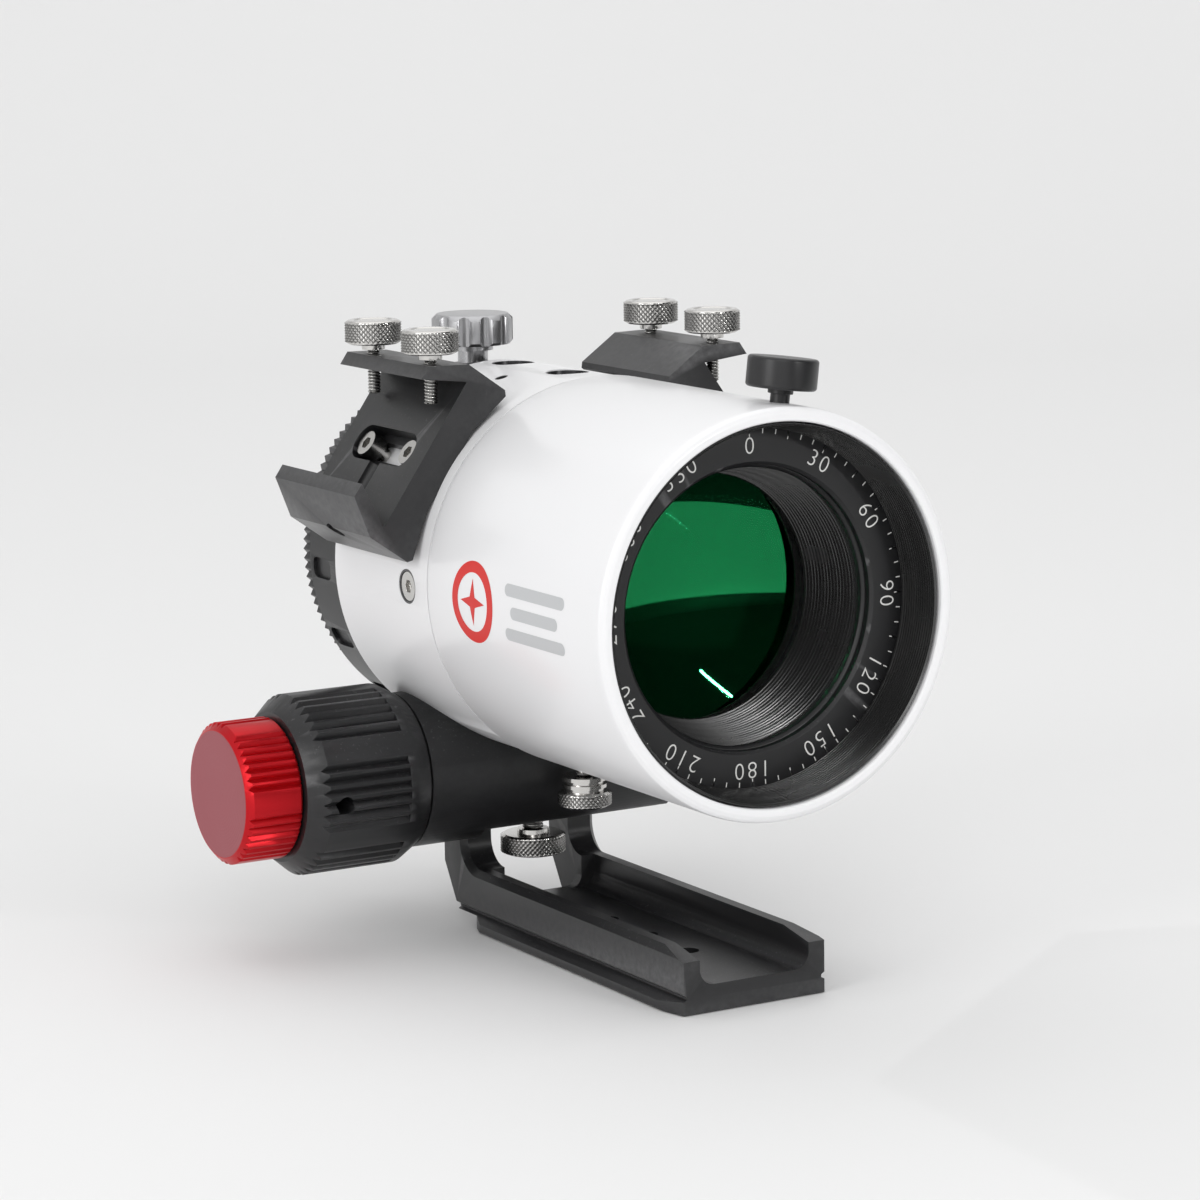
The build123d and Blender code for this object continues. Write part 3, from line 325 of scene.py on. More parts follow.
def build_dust(tree):
    """Specks on faces that look up."""
    given, result = sockets(
        tree, [("Amount", "NodeSocketFloat", 0.1)], [("Mask", "NodeSocketFloat")])
    g = Graph(tree)
    place = g.add("ShaderNodeTexCoord").node.outputs["Object"]
    normal = g.add("ShaderNodeNewGeometry").node.outputs["Normal"]
    facing = g.add("ShaderNodeSeparateXYZ", normal).node.outputs[2]
    upward = g.math("MAXIMUM", facing, 0.0)
    specks = g.add("ShaderNodeTexNoise", place, None, 1500.0, 2.0, 0.7)
    sparse = g.math("MULTIPLY", g.math("MAXIMUM", g.math("SUBTRACT", specks, 0.62), 0.0), 6.0)
    g.feed(result.inputs[0], g.math("MULTIPLY", g.math("MULTIPLY", sparse, upward), given.outputs["Amount"]))


def build_wear(tree):
    """Bright worn edges, broken up by noise."""
    given, result = sockets(
        tree, [("Amount", "NodeSocketFloat", 0.3)], [("Mask", "NodeSocketFloat")])
    g = Graph(tree)
    place = g.add("ShaderNodeTexCoord").node.outputs["Object"]
    pointed = g.add("ShaderNodeNewGeometry").node.outputs["Pointiness"]
    raised = g.math("MAXIMUM", g.math("SUBTRACT", pointed, FLAT_POINTINESS), 0.0)
    edge = g.math("MINIMUM", g.math("MULTIPLY", raised, EDGE_GAIN), 1.0)
    broken = g.add("ShaderNodeTexNoise", place, None, 700.0, 3.0, 0.6)
    g.feed(result.inputs[0], g.math("MULTIPLY", g.math("MULTIPLY", edge, broken), given.outputs["Amount"]))


def group(graph, name, build, **values):
    """Place a shader group in a material with its own values, and return its outputs."""
    node = graph.tree.nodes.new("ShaderNodeGroup")
    node.node_tree = once(name, "ShaderNodeTree", build)
    for key, value in values.items():
        node.inputs[key].default_value = value
    return node.outputs


# ---------------------------------------------------------------- materials
def principled(name, colour, metallic, roughness, **more):
    """A new material, its graph and its Principled shader."""
    material = bpy.data.materials.new(name)
    material.use_nodes = True
    shader = material.node_tree.nodes["Principled BSDF"]
    values = {"Base Color": colour, "Metallic": metallic, "Roughness": roughness, **more}
    for key, value in values.items():
        shader.inputs[key].default_value = value
    return material, Graph(material.node_tree), shader.inputs


def bumped(graph, inputs, height, distance, strength=1.0):
    """Feed a height to the shader's normal through a Bump node."""
    bump = graph.tree.nodes.new("ShaderNodeBump")
    bump.inputs["Distance"].default_value = distance
    bump.inputs["Strength"].default_value = strength
    graph.feed(bump.inputs["Height"], height)
    graph.feed(inputs["Normal"], bump.outputs[0])


def mixed(graph, mask, base, over):
    """Base colour with another over it where the mask is high."""
    node = graph.add("ShaderNodeMix", data_type="RGBA").node
    graph.feed(node.inputs[0], mask)
    node.inputs[6].default_value = base
    node.inputs[7].default_value = over
    return node.outputs[2]


def enamel(name, colour):
    """Semi-gloss white enamel with a faint orange peel."""
    material, g, inputs = principled(name, colour, 0.0, ENAMEL_ROUGHNESS)
    inputs["Coat Weight"].default_value = 0.25
    inputs["Coat Roughness"].default_value = 0.15
    grain = group(g, "Fine Grain", build_grain, Scale=900.0, Unevenness=0.10)
    dust = group(g, "Settled Dust", build_dust, Amount=0.10)
    g.feed(inputs["Base Color"], mixed(g, dust["Mask"], colour, (0.55, 0.54, 0.52, 1)))
    g.feed(inputs["Roughness"], g.math("ADD", grain["Value"], ENAMEL_ROUGHNESS))
    bumped(g, inputs, grain["Height"], 0.00002, 0.25)
    return material


def anodised(name, colour, roughness, worn, metallic=0.0):
    """Satin anodised aluminium: fine blasted grain, edges a little brighter."""
    material, g, inputs = principled(name, colour, metallic, roughness)
    grain = group(g, "Fine Grain", build_grain, Scale=6000.0, Unevenness=0.16)
    wear = group(g, "Edge Wear", build_wear, Amount=0.25)
    dust = group(g, "Settled Dust", build_dust, Amount=0.22)
    both = g.math("MAXIMUM", wear["Mask"], dust["Mask"])
    g.feed(inputs["Base Color"], mixed(g, both, colour, worn))
    g.feed(inputs["Roughness"], g.math("ADD", grain["Value"], roughness))
    bumped(g, inputs, grain["Height"], 0.000012, 0.5)
    return material


def plated(name, colour, valley_shade):
    """Bright plating with painted shade: a near-black base colour at the bottom of the knurl and of the
    thread.
    """
    material, g, inputs = principled(name, colour, 1.0, PLATE_ROUGHNESS)
    grain = group(g, "Fine Grain", build_grain, Scale=6000.0, Unevenness=0.12)
    depths = [g.add("ShaderNodeAttribute", attribute_name=each).node.outputs["Fac"]
              for each in ("knurl_valley", "thread_valley")]
    # Painted shade: the deeper the valley, the nearer the base colour goes to the dark shade colour.
    deep = g.math("POWER", g.math("MAXIMUM", *depths), 1.6)
    g.feed(inputs["Base Color"], mixed(g, deep, colour, valley_shade))
    rougher = g.math("ADD", g.math("MULTIPLY", deep, 0.3), PLATE_ROUGHNESS)
    g.feed(inputs["Roughness"], g.math("ADD", grain["Value"], rougher))
    bumped(g, inputs, grain["Height"], 0.000008, 0.4)
    return material


def lathed(name, colour, metallic, roughness, centre, across, shine=0.5):
    """Machined metal with fine rings about its axis."""
    material, g, inputs = principled(name, colour, metallic, roughness)
    inputs["Specular IOR Level"].default_value = shine
    marks = group(g, "Turning Marks", build_turning, Centre=centre, Across=across, Rings=9000.0)
    grain = group(g, "Fine Grain", build_grain, Scale=5000.0, Unevenness=0.14)
    g.feed(inputs["Roughness"], g.math("ADD", grain["Value"], roughness))
    bumped(g, inputs, g.math("ADD", marks["Height"], grain["Height"]), 0.000006, 0.6)
    return material


def coated_glass(name, coating):
    """Front lens as an almost clear film with a thin green reflection; it does not bend light."""
    material, _, _ = principled(name, coating, 1.0, 0.0, Alpha=FILM_ALPHA)
    return material


def deep_glass(name, coating):
    """Inner lenses as opaque green mirrors: only the coating's reflection is shown."""
    dim = tuple(COATING_SHARE * value for value in coating[:3])
    material, _, _ = principled(name, (*dim, 1), 1.0, 0.015)
    return material


def print_ink(name, colour):
    """Silk-screen ink, a little rougher than what it lies on."""
    material, g, inputs = principled(name, colour, 0.0, INK_ROUGHNESS)
    grain = group(g, "Fine Grain", build_grain, Scale=7000.0, Unevenness=0.10)
    g.feed(inputs["Roughness"], g.math("ADD", grain["Value"], INK_ROUGHNESS))
    bumped(g, inputs, grain["Height"], 0.000006, 0.4)
    return material


def finish(name):
    """The finish of that name, made once. The frame has plain materials of the same names, so a
    finish is kept under its own."""
    own = name + "_finish"
    if own in bpy.data.materials:
        return bpy.data.materials[own]
    tone = bpy.context.scene.astro_finish
    grey = (0.45, 0.45, 0.46, 1)
    across_y = (1.0, 0.0, 1.0)
    across_x = (0.0, 1.0, 1.0)
    steel = (0.60, 0.59, 0.57, 1)
    makers = {
        "white_paint": lambda: enamel(name, tone.paint),
        "black_anodised": lambda: anodised(name, tone.black, 0.36, grey),
        "printed_black": lambda: anodised(name, tone.black, 0.42, grey),
        "matt_black": lambda: lathed(name, (0.016, 0.016, 0.016, 1), 0.0, 0.26, RIM, across_y, 0.9),
        "ribbed_black": lambda: lathed(name, (0.016, 0.016, 0.016, 1), 0.0, 0.26, RIM, across_y, 0.9),
        "red_anodised": lambda: lathed(name, tone.red, 0.72, 0.34, KNOB_AXIS, across_x),
        # knob_face: a duller, greyer red that is painted reflection of the grey surroundings in the knob's
        # flat face.
        "knob_face": lambda: lathed(name, (0.30, 0.055, 0.07, 1), 0.3, 0.36, KNOB_AXIS, across_x),
        "clear_anodised": lambda: anodised(name, (0.44, 0.44, 0.45, 1), 0.32, (0.8, 0.8, 0.8, 1), 1.0),
        # nickel_plate: the second colour is painted shade for the knurl and thread valleys.
        "nickel_plate": lambda: plated(name, (0.62, 0.61, 0.59, 1), (0.03, 0.03, 0.03, 1)),
        "stainless": lambda: anodised(name, steel, 0.22, (0.9, 0.9, 0.9, 1), 1.0),
        "black_steel": lambda: anodised(name, (0.02, 0.02, 0.022, 1), 0.30, grey, 0.3),
        "ground_steel": lambda: lathed(name, steel, 1.0, 0.24, KNOB_AXIS, across_x),
        "bronze": lambda: anodised(name, (0.50, 0.34, 0.15, 1), 0.30, (0.8, 0.6, 0.3, 1), 1.0),
        "guide_plastic": lambda: print_ink(name, (0.70, 0.70, 0.68, 1)),
        "coated_glass": lambda: coated_glass(name, tone.coating),
        "deep_glass": lambda: deep_glass(name, tone.coating),
        "red_ink": lambda: print_ink(name, tone.mark_red),
        "grey_ink": lambda: print_ink(name, tone.mark_grey),
        "white_ink": lambda: print_ink(name, (0.70, 0.70, 0.68, 1)),
    }
    material = makers[name]()
    material.name = own
    return material


# ---------------------------------------------------------------- mesh helpers
def made(name, bm, sharp=35.0):
    """A new object from a bmesh, smooth except where faces meet at more than the sharp angle."""
    mesh = bpy.data.meshes.new(name)
    bm.to_mesh(mesh)
    bm.free()
    mesh.shade_smooth()
    mesh.set_sharp_from_angle(angle=math.radians(sharp))
    piece = bpy.data.objects.new(name, mesh)
    bpy.context.scene.collection.objects.link(piece)
    return piece


def rounded(outline, size, steps=3, closed=True):
    """The outline with each corner of more than 20 degrees turned into a small arc."""
    points = [Vector(p) for p in outline]
    ends = () if closed else (0, len(points) - 1)
    result = []
    for i, corner in enumerate(points):
        back, on = points[i - 1] - corner, points[(i + 1) % len(points)] - corner
        if i in ends or back.angle(-on) < math.radians(20):
            result.append(tuple(corner))
            continue
        reach = min(size, 0.45 * back.length, 0.45 * on.length)
        start, end = corner + back.normalized() * reach, corner + on.normalized() * reach
        for k in range(steps + 1):
            t = k / steps
            result.append(tuple(start * (1 - t) ** 2 + corner * 2 * t * (1 - t) + end * t * t))
    return result


def add_turned(bm, outline, datum, axis, around, closed):
    """Add a closed surface of revolution. The outline is (along, radius) pairs in millimetres."""
    side = Vector((0, 0, 1)) if abs(axis.z) < 0.5 else Vector((1, 0, 0))
    side = (side - axis * side.dot(axis)).normalized()
    other = axis.cross(side)
    rings = []
    for along, radius in outline:
        centre = datum + axis * along * MM
        if radius < 1e-6:
            rings.append([bm.verts.new(centre)])
            continue
        angles = [math.tau * k / around for k in range(around)]
        rings.append([bm.verts.new(centre + (side * math.cos(a) + other * math.sin(a)) * radius * MM)
                      for a in angles])
    pairs = list(zip(rings, rings[1:]))
    if closed:
        pairs.append((rings[-1], rings[0]))
    faces = []
    for low, high in pairs:
        for k in range(around):
            here, on = k, k + 1
            corners = (low[here % len(low)], low[on % len(low)], high[on % len(high)], high[here % len(high)])
            faces.append(bm.faces.new(list(dict.fromkeys(corners))))
    bmesh.ops.recalc_face_normals(bm, faces=faces)


def turned(name, outline, datum=RIM, axis=Y, around=288, closed=True, sharp=35.0):
    """A new turned piece."""
    bm = bmesh.new()
    add_turned(bm, outline, datum, axis, around, closed)
    return made(name, bm, sharp)


def softened(node, width, steps=2, sharp=30.0):
    """A copy of a CAD node with its sharp edges broken by a narrow bevel."""
    bm = bmesh.new()
    bm.from_mesh(frame["nodes"][node].data)
    bmesh.ops.remove_doubles(bm, verts=bm.verts, dist=2e-6)
    bmesh.ops.dissolve_limit(bm, angle_limit=math.radians(0.5), verts=bm.verts, edges=bm.edges)
    piece = made(node + "_look", bm)
    bevel = piece.modifiers.new("Broken edges", "BEVEL")
    bevel.width = width * MM
    bevel.segments = steps
    bevel.limit_method = "ANGLE"
    bevel.angle_limit = math.radians(sharp)
    bevel.harden_normals = True
    bevel.use_clamp_overlap = True
    return baked(piece)


def place(piece, material, *nodes):
    """Give a piece its finish, and let it stand for CAD nodes of one body."""
    piece.data.materials.clear()
    piece.data.materials.append(finish(material))
    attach(piece, BODY_OF[nodes[0]])
    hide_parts(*nodes)
    return piece


def dress(node, material):
    """A CAD node keeps its shape, and gets a finish."""
    shown = frame["nodes"][node]
    shown.data.materials.clear()
    shown.data.materials.append(finish(material))


def rows(low, high, step):
    """Evenly spaced numbers from low to high."""
    count = max(1, round((high - low) / step))
    return [low + (high - low) * k / count for k in range(count + 1)]


# ---------------------------------------------------------------- pieces
class ASTRO_OT_tube(bpy.types.Operator):
    """Make the white tube and the dew shield"""
    bl_idname = "astro.tube"
    bl_label = "Tube and Dew Shield"

    def execute(self, context):
        place(softened("main_tube", 0.25), "white_paint", "main_tube")
        lip = [(0.0, 40.9), (0.3, 41.6), (0.9, 42.2), (1.8, SHIELD_R)]
        outline = rounded([
            *lip, (70.0, SHIELD_R), (72.0, SHIELD_R - 0.5), (72.0, 39.3), (0.35, 39.3), (0.0, 39.6),
        ], 0.15)
        place(turned("dew_shield_look", outline, around=360), "white_paint", "dew_shield")
        return {"FINISHED"}


def wrapped(name, outlines, radius, material):
    """Flat shapes in millimetres, (back along the tube, up the side), laid on the tube's -X side."""
    curve = bpy.data.curves.new(name, "CURVE")
    curve.dimensions = "2D"
    curve.fill_mode = "BOTH"
    for outline in outlines:
        spline = curve.splines.new("POLY")
        spline.points.add(len(outline) - 1)
        for point, (u, v) in zip(spline.points, outline):
            point.co = (u * MM, v * MM, 0, 1)
        spline.use_cyclic_u = True
    flat = bpy.data.objects.new(name, curve)
    bpy.context.scene.collection.objects.link(flat)
    bpy.context.view_layer.update()
    mesh = bpy.data.meshes.new_from_object(flat.evaluated_get(bpy.context.evaluated_depsgraph_get()))
    bpy.data.objects.remove(flat)
    bm = bmesh.new()
    bm.from_mesh(mesh)
    for v in rows(-10.0, 10.0, 0.8):
        geometry = [*bm.verts, *bm.edges, *bm.faces]
        bmesh.ops.bisect_plane(bm, geom=geometry, plane_co=(0, v * MM, 0), plane_no=(0, 1, 0))
    r = radius * MM
    for vertex in bm.verts:
        back, up = vertex.co.x, vertex.co.y / r
        vertex.co = Vector((-r * math.cos(up), RIM.y + back, AXIS_Z + r * math.sin(up)))
    for face in bm.faces:
        face.normal_update()
        if face.normal.x > 0:
            face.normal_flip()
    piece = made(name, bm)
    piece.data.materials.append(finish(material))
    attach(piece, "dew_shield")
    return piece


def ring_points(u, v, r, count=64):
    """A circle as an outline."""
    angles = [math.tau * k / count for k in range(count)]
    return [(u + r * math.cos(a), v + r * math.sin(a)) for a in angles]


def bar_points(u, v, length, height):
    """A bar with round ends as an outline, centred on (u, v)."""
    r = height / 2
    half = length / 2 - r
    arc = [math.pi * k / 12 - math.pi / 2 for k in range(13)]
    right = [(u + half + r * math.cos(a), v + r * math.sin(a)) for a in arc]
    left = [(u - half - r * math.cos(a), v - r * math.sin(a)) for a in arc]
    return right + left


def star_points(u, v, r, waist):
    """A four-pointed star as an outline."""
    return [(u + (r if k % 2 == 0 else waist) * math.sin(math.tau * k / 8),
             v + (r if k % 2 == 0 else waist) * math.cos(math.tau * k / 8)) for k in range(8)]


class ASTRO_OT_side_mark(bpy.types.Operator):
    """Print a plain mark of a ringed star and three bars on the dew shield's side"""
    bl_idname = "astro.side_mark"
    bl_label = "Side Mark"

    def execute(self, context):
        skin = SHIELD_R + 0.03
        star = [ring_points(51.5, 0, 8.6), ring_points(51.5, 0, 6.2), star_points(51.5, 0, 5.0, 1.5)]
        wrapped("side_mark_star", star, skin, "red_ink")
        bars = [bar_points(26.0, v, length, 2.6) for v, length in ((4.6, 24.0), (0.0, 19.0), (-4.6, 24.0))]
        wrapped("side_mark_bars", bars, skin, "grey_ink")
        return {"FINISHED"}


class ASTRO_OT_front(bpy.types.Operator):
    """Make the ribbed front of the lens cell: outer ring, name ring, clamp ring and stepped baffle"""
    bl_idname = "astro.front"
    bl_label = "Front Rings"

    def execute(self, context):
        ribs = []
        for k in range(15):
            along, radius = 1.2 + 0.66 * k, 38.35 - 0.10 * k
            ribs += [(along, radius), (along + 0.26, radius + 0.45), (along + 0.40, radius)]
        outer = [(0.9, 38.75), (1.2, 38.98), (13.3, 39.0), (13.3, 37.4), (11.2, 37.4), *reversed(ribs)]
        place(turned("cell_front_ring_look", outer), "ribbed_black", "cell_front_ring")
        dial = rounded([(11.25, 37.35), (13.25, 37.35), (13.25, 29.4), (11.9, 29.4), (11.25, 30.1)], 0.12)
        place(turned("name_ring_look", dial), "printed_black", "name_ring")
        clamp = rounded([(13.3, 33.1), (15.6, 33.1), (15.6, 28.9), (14.0, 28.6), (13.3, 29.2)], 0.25)
        place(turned("baffle_clamp_ring_look", clamp), "black_anodised", "baffle_clamp_ring")
        steps = []
        for k in range(16):
            along, radius = 15.75 + 0.90 * k, 28.75 - 0.18 * k
            steps += [(along, radius + 0.25), (along + 0.62, radius + 0.25), (along + 0.74, radius - 0.25)]
        baffle = [(15.7, 33.1), (30.5, 33.1), (30.5, 25.6), *reversed(steps)]
        place(turned("stepped_baffle_look", baffle), "matt_black", "stepped_baffle")
        return {"FINISHED"}


class ASTRO_OT_dial(bpy.types.Operator):
    """Print ticks and numbers on the ring in front of the lens"""
    bl_idname = "astro.dial"
    bl_label = "Dial Print"

    def execute(self, context):
        dial = context.scene.astro_dial
        face = Vector((RIM.x, RIM.y + 11.235 * MM, RIM.z))
        for name, radius, count, length in (
            ("dial_ticks", TICK_RADIUS, dial.ticks, 1.0),
            ("dial_long_ticks", LONG_TICK_RADIUS, dial.numbers * 2, 1.6),
        ):
            empty = made(name, bmesh.new())
            grown(empty, (tick_tree(), {
                "Centre": face, "Radius": radius * MM, "Count": count,
                "Bar": (length * MM, 0.22 * MM, 0.02 * MM), "Material": finish("white_ink"),
            }))
            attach(empty, "base")
        for k in range(dial.numbers):
            self.number(str(360 // dial.numbers * k), math.tau * k / dial.numbers, face, dial.height)
        return {"FINISHED"}

    def number(self, words, angle, face, height):
        """One number, upright when read with its top outwards."""
        curve = bpy.data.curves.new("dial_number", "FONT")
        curve.body = words
        curve.size = height
        curve.align_x = "CENTER"
        curve.align_y = "CENTER"
        curve.space_character = 1.25
        curve.offset = -0.015 * height
        text = bpy.data.objects.new("dial_number_" + words, curve)
        bpy.context.scene.collection.objects.link(text)
        bpy.context.view_layer.update()
        mesh = bpy.data.meshes.new_from_object(text.evaluated_get(bpy.context.evaluated_depsgraph_get()))
        bpy.data.objects.remove(text)
        stand = Matrix.Rotation(math.pi / 2, 4, "X")
        turn = Matrix.Rotation(angle, 4, "Y")
        out = Matrix.Translation((0, 0, NUMBER_RADIUS * MM))
        mesh.transform(Matrix.Translation(face) @ turn @ out @ stand)
        piece = bpy.data.objects.new("dial_number_" + words, mesh)
        bpy.context.scene.collection.objects.link(piece)
        mesh.materials.clear()
        mesh.materials.append(finish("white_ink"))
        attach(piece, "base")


def sphere_row(vertex, radius, rim, count=24):
    """(along, radius) pairs of a lens surface from its vertex to its rim."""
    result = []
    for k in range(count + 1):
        r = rim * k / count
        depth = abs(radius) - math.sqrt(radius ** 2 - r ** 2)
        result.append((vertex + math.copysign(depth, radius), r))
    return result


class ASTRO_OT_optics(bpy.types.Operator):
    """Make the smooth, coated lenses"""
    bl_idname = "astro.optics"
    bl_label = "Lenses"

    def execute(self, context):
        for node, front, front_radius, rear, rear_radius, rim in (
            ("objective_front_lens", 27.2, 90.0, 40.0, -95.0, 28.4),
            ("objective_middle_lens", 41.0, -90.0, 44.0, 110.0, 28.4),
            ("objective_rear_lens", 44.6, 105.0, 53.0, 600.0, 28.4),
            ("flattener_front_lens", 103.0, 80.0, 109.0, -200.0, 23.9),
            ("flattener_rear_lens", 111.5, -90.0, 114.5, 300.0, 23.9),
        ):
            outline = sphere_row(front, front_radius, rim) + sphere_row(rear, rear_radius, rim)[::-1]
            piece = turned(node + "_look", outline, around=192, closed=False)
            place(piece, "coated_glass" if node == "objective_front_lens" else "deep_glass", node)
        return {"FINISHED"}


def screw_piece(name, node, head, band, post, count):
    """A knurled thumbscrew on a Z axis, with a threaded post below its head."""
    knurl = bpy.context.scene.astro_knurl
    centre = middle(node)
    datum = Vector((centre.x, centre.y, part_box(node)[0].z))
    low, high, radius = band
    pitch = math.tau * radius / count
    body = [p for p in head if p[0] < low]
    body += [(z, radius) for z in rows(low, high, pitch / 4)]
    body += [p for p in head if p[0] > high]
    bm = bmesh.new()
    add_turned(bm, body, datum, Z, 4 * count, False)
    post_low, post_high, post_radius = post
    shank = [(post_low, 0), (post_low, post_radius * 0.7), (post_low + 0.3, post_radius)]
    shank += [(z, post_radius) for z in rows(post_low + 0.4, post_high, knurl.thread_pitch / MM / 5)]
    shank += [(post_high + 0.2, post_radius), (post_high + 0.2, 0)]
    add_turned(bm, shank, datum, Z, 32, False)
    piece = made(name, bm, 28.0)
    base = datum.z
    return grown(
        piece,
        (knurl_tree(), {
            "Centre": Vector((datum.x, datum.y, 0)), "Starts": float(count), "Pitch": pitch * MM,
            "Low": base + low * MM - 1e-6, "High": base + high * MM + 1e-6,
            "Least Radius": (radius - 0.1) * MM, "Greatest Radius": 1.0,
            "Depth": knurl.depth, "Material": finish("nickel_plate"),
        }),
        (thread_tree(), {
            "Centre": Vector((datum.x, datum.y, 0)), "Starts": 1.0, "Pitch": knurl.thread_pitch,
            "Low": base + (post_low + 0.35) * MM, "High": base + post_high * MM,
            "Least Radius": (post_radius - 0.1) * MM, "Greatest Radius": (post_radius + 0.1) * MM,
            "Depth": knurl.thread_depth, "Material": finish("nickel_plate"),
        }),
    )


class ASTRO_OT_thumbscrews(bpy.types.Operator):
    """Make the knurled clamp screws, the tension screw and the focus lock screw"""
    bl_idname = "astro.thumbscrews"
    bl_label = "Knurled Screws"

    def execute(self, context):
        count = context.scene.astro_knurl.diamonds
        for side in ("left", "right"):
            for end in ("front", "rear"):
                node = f"{side}_{end}_clamp_screw"
                tall = (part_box(node)[1].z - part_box(node)[0].z) / MM
                foot, top = tall - 5.2, tall
                head = [
                    (foot - 1.2, 0), (foot - 1.2, 2.5), (foot, 2.6), (foot + 0.02, 5.3),
                    (foot + 0.55, 6.15), (top - 0.55, 6.15), (top - 0.05, 5.45), (top, 5.2),
                    (top, 4.3), (top - 0.18, 4.1), (top - 0.14, 0),
                ]
                piece = screw_piece(node + "_look", node, head, (foot + 0.6, top - 0.6, 6.2),
                                    (0.0, foot - 1.2, 1.45), count)
                place(piece, "nickel_plate", node)
        head = [(0.0, 0), (0.05, 6.4), (0.5, 7.3), (4.1, 7.3), (4.55, 6.5), (4.6, 3.6), (5.6, 3.5), (5.6, 0)]
        piece = screw_piece("tension_screw_look", "tension_screw", head, (0.6, 4.0, 7.4),
                            (5.6, 11.8, 2.45), count + 8)
        place(piece, "nickel_plate", "tension_screw")
        head = [
            (0.0, 0), (0.05, 5.1), (0.5, 5.9), (2.9, 5.9), (3.35, 5.2), (3.4, 4.3), (4.2, 4.3),
            (4.3, 4.95), (5.1, 4.95), (5.2, 4.2), (5.8, 4.2), (5.9, 4.95), (6.75, 4.95), (6.8, 0),
        ]
        piece = screw_piece("focus_lock_screw_look", "focus_lock_screw", head, (0.6, 2.8, 6.0),
                            (6.8, 17.7, 1.95), count)
        place(piece, "nickel_plate", "focus_lock_screw")
        return {"FINISHED"}


class ASTRO_OT_knobs(bpy.types.Operator):
    """Make the focusing knobs and the two lock knobs"""
    bl_idname = "astro.knobs"
    bl_label = "Knobs"

    def execute(self, context):
        place(softened("coarse_knob", 0.18), "black_anodised", "coarse_knob")
        place(softened("fine_knob", 0.14), "red_anodised", "fine_knob")
        # A disc over the fine knob's flat end, in a duller, greyer red: painted reflection of the grey
        # surroundings.
        end = Vector((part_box("fine_knob")[0].x, KNOB_AXIS.y, KNOB_AXIS.z))
        outline = [(-0.03, 0), (-0.03, 13.7), (0.05, 13.8), (0.05, 0)]
        painted_reflection_disc = turned("fine_knob_face", outline, end, X, 96, False)
        painted_reflection_disc.data.materials.append(finish("knob_face"))
        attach(painted_reflection_disc, BODY_OF["fine_knob"])
        place(softened("rotator_lock_knob", 0.2), "clear_anodised", "rotator_lock_knob")
        place(softened("dew_shield_lock_knob", 0.1), "black_anodised", "dew_shield_lock_knob")
        return {"FINISHED"}


class ASTRO_OT_castings(bpy.types.Operator):
    """Make the foot, the focuser housing and the finder shoes with broken edges"""
    bl_idname = "astro.castings"
    bl_label = "Machined Blocks"

    def execute(self, context):
        for node, width in (
            ("foot", 0.3), ("focuser_housing", 0.25), ("housing_end_cap", 0.25), ("left_finder_shoe", 0.28),
            ("right_finder_shoe", 0.28),
        ):
            place(softened(node, width), "black_anodised", node)
        return {"FINISHED"}


class ASTRO_OT_hole_shade(bpy.types.Operator):
    """Paint shade into holes of the white tube: black rings line the walls of the ports on top and of the
    recess round each side screw
    """
    bl_idname = "astro.liners"
    bl_label = "Painted Shade in Holes"

    def execute(self, context):
        # Painted shade: the port walls are white tube, lined black so that they read dark.
        port_shade_ring = [(40.63, 2.55), (40.63, 4.77), (41.72, 4.77), (41.72, 4.45), (40.95, 4.35), (40.95, 2.55)]
        for name, along in (("front_port_liner", 84.0), ("rear_port_liner", 108.0)):
            self.add_shade_ring(name, port_shade_ring, along, Z)
        # Painted shade on the wall of the small hole.
        self.add_shade_ring("small_hole_liner", [(38.3, 1.2), (38.3, 1.47), (41.9, 1.47), (41.9, 1.2)], 94.0,
                   Matrix.Rotation(math.radians(-15.0), 3, "Y") @ Z)
        # Painted shade in the recess round each side screw's head.
        recess_shade_ring = [(39.7, 3.27), (39.7, 3.72), (41.86, 3.72), (41.86, 3.27)]
        for name, angle in (("left_collar", -91.0), ("right_collar", 91.0)):
            self.add_shade_ring(name, recess_shade_ring, 81.0, Matrix.Rotation(math.radians(angle), 3, "Y") @ Z)
        return {"FINISHED"}

    def add_shade_ring(self, name, outline, along, out):
        """A black ring of painted shade on a hole wall, about a line out of the optical axis."""
        ring = turned(name, outline, RIM + Y * along * MM, out, 64)
        ring.data.materials.append(finish("black_steel"))
        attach(ring, BODY_OF["main_tube"])


class ASTRO_OT_rotator(bpy.types.Operator):
    """Make the camera rotator's base, toothed ring and adapter"""
    bl_idname = "astro.rotator"
    bl_label = "Camera Rotator"

    def execute(self, context):
        place(softened("rotator_base", 0.2), "black_anodised", "rotator_base")
        place(softened("rotator_ring", 0.12), "black_anodised", "rotator_ring")
        place(softened("camera_adapter", 0.2), "black_anodised", "camera_adapter")
        return {"FINISHED"}


class ASTRO_OT_fasteners(bpy.types.Operator):
    """Give the cap screws a bevel and their finish, and dress the inner parts"""
    bl_idname = "astro.fasteners"
    bl_label = "Screws and Inner Parts"

    def execute(self, context):
        for node, material in (
            ("left_shoe_screws", "stainless"), ("right_shoe_screws", "stainless"),
            ("tube_screws", "stainless"),
            ("foot_screws", "black_steel"), ("end_cap_screws", "black_steel"),
        ):
            place(softened(node, 0.12), material, node)
        for node, shown in frame["nodes"].items():
            if not shown.hide_render:
                dress(node, SLOT_OF[node])
        return {"FINISHED"}


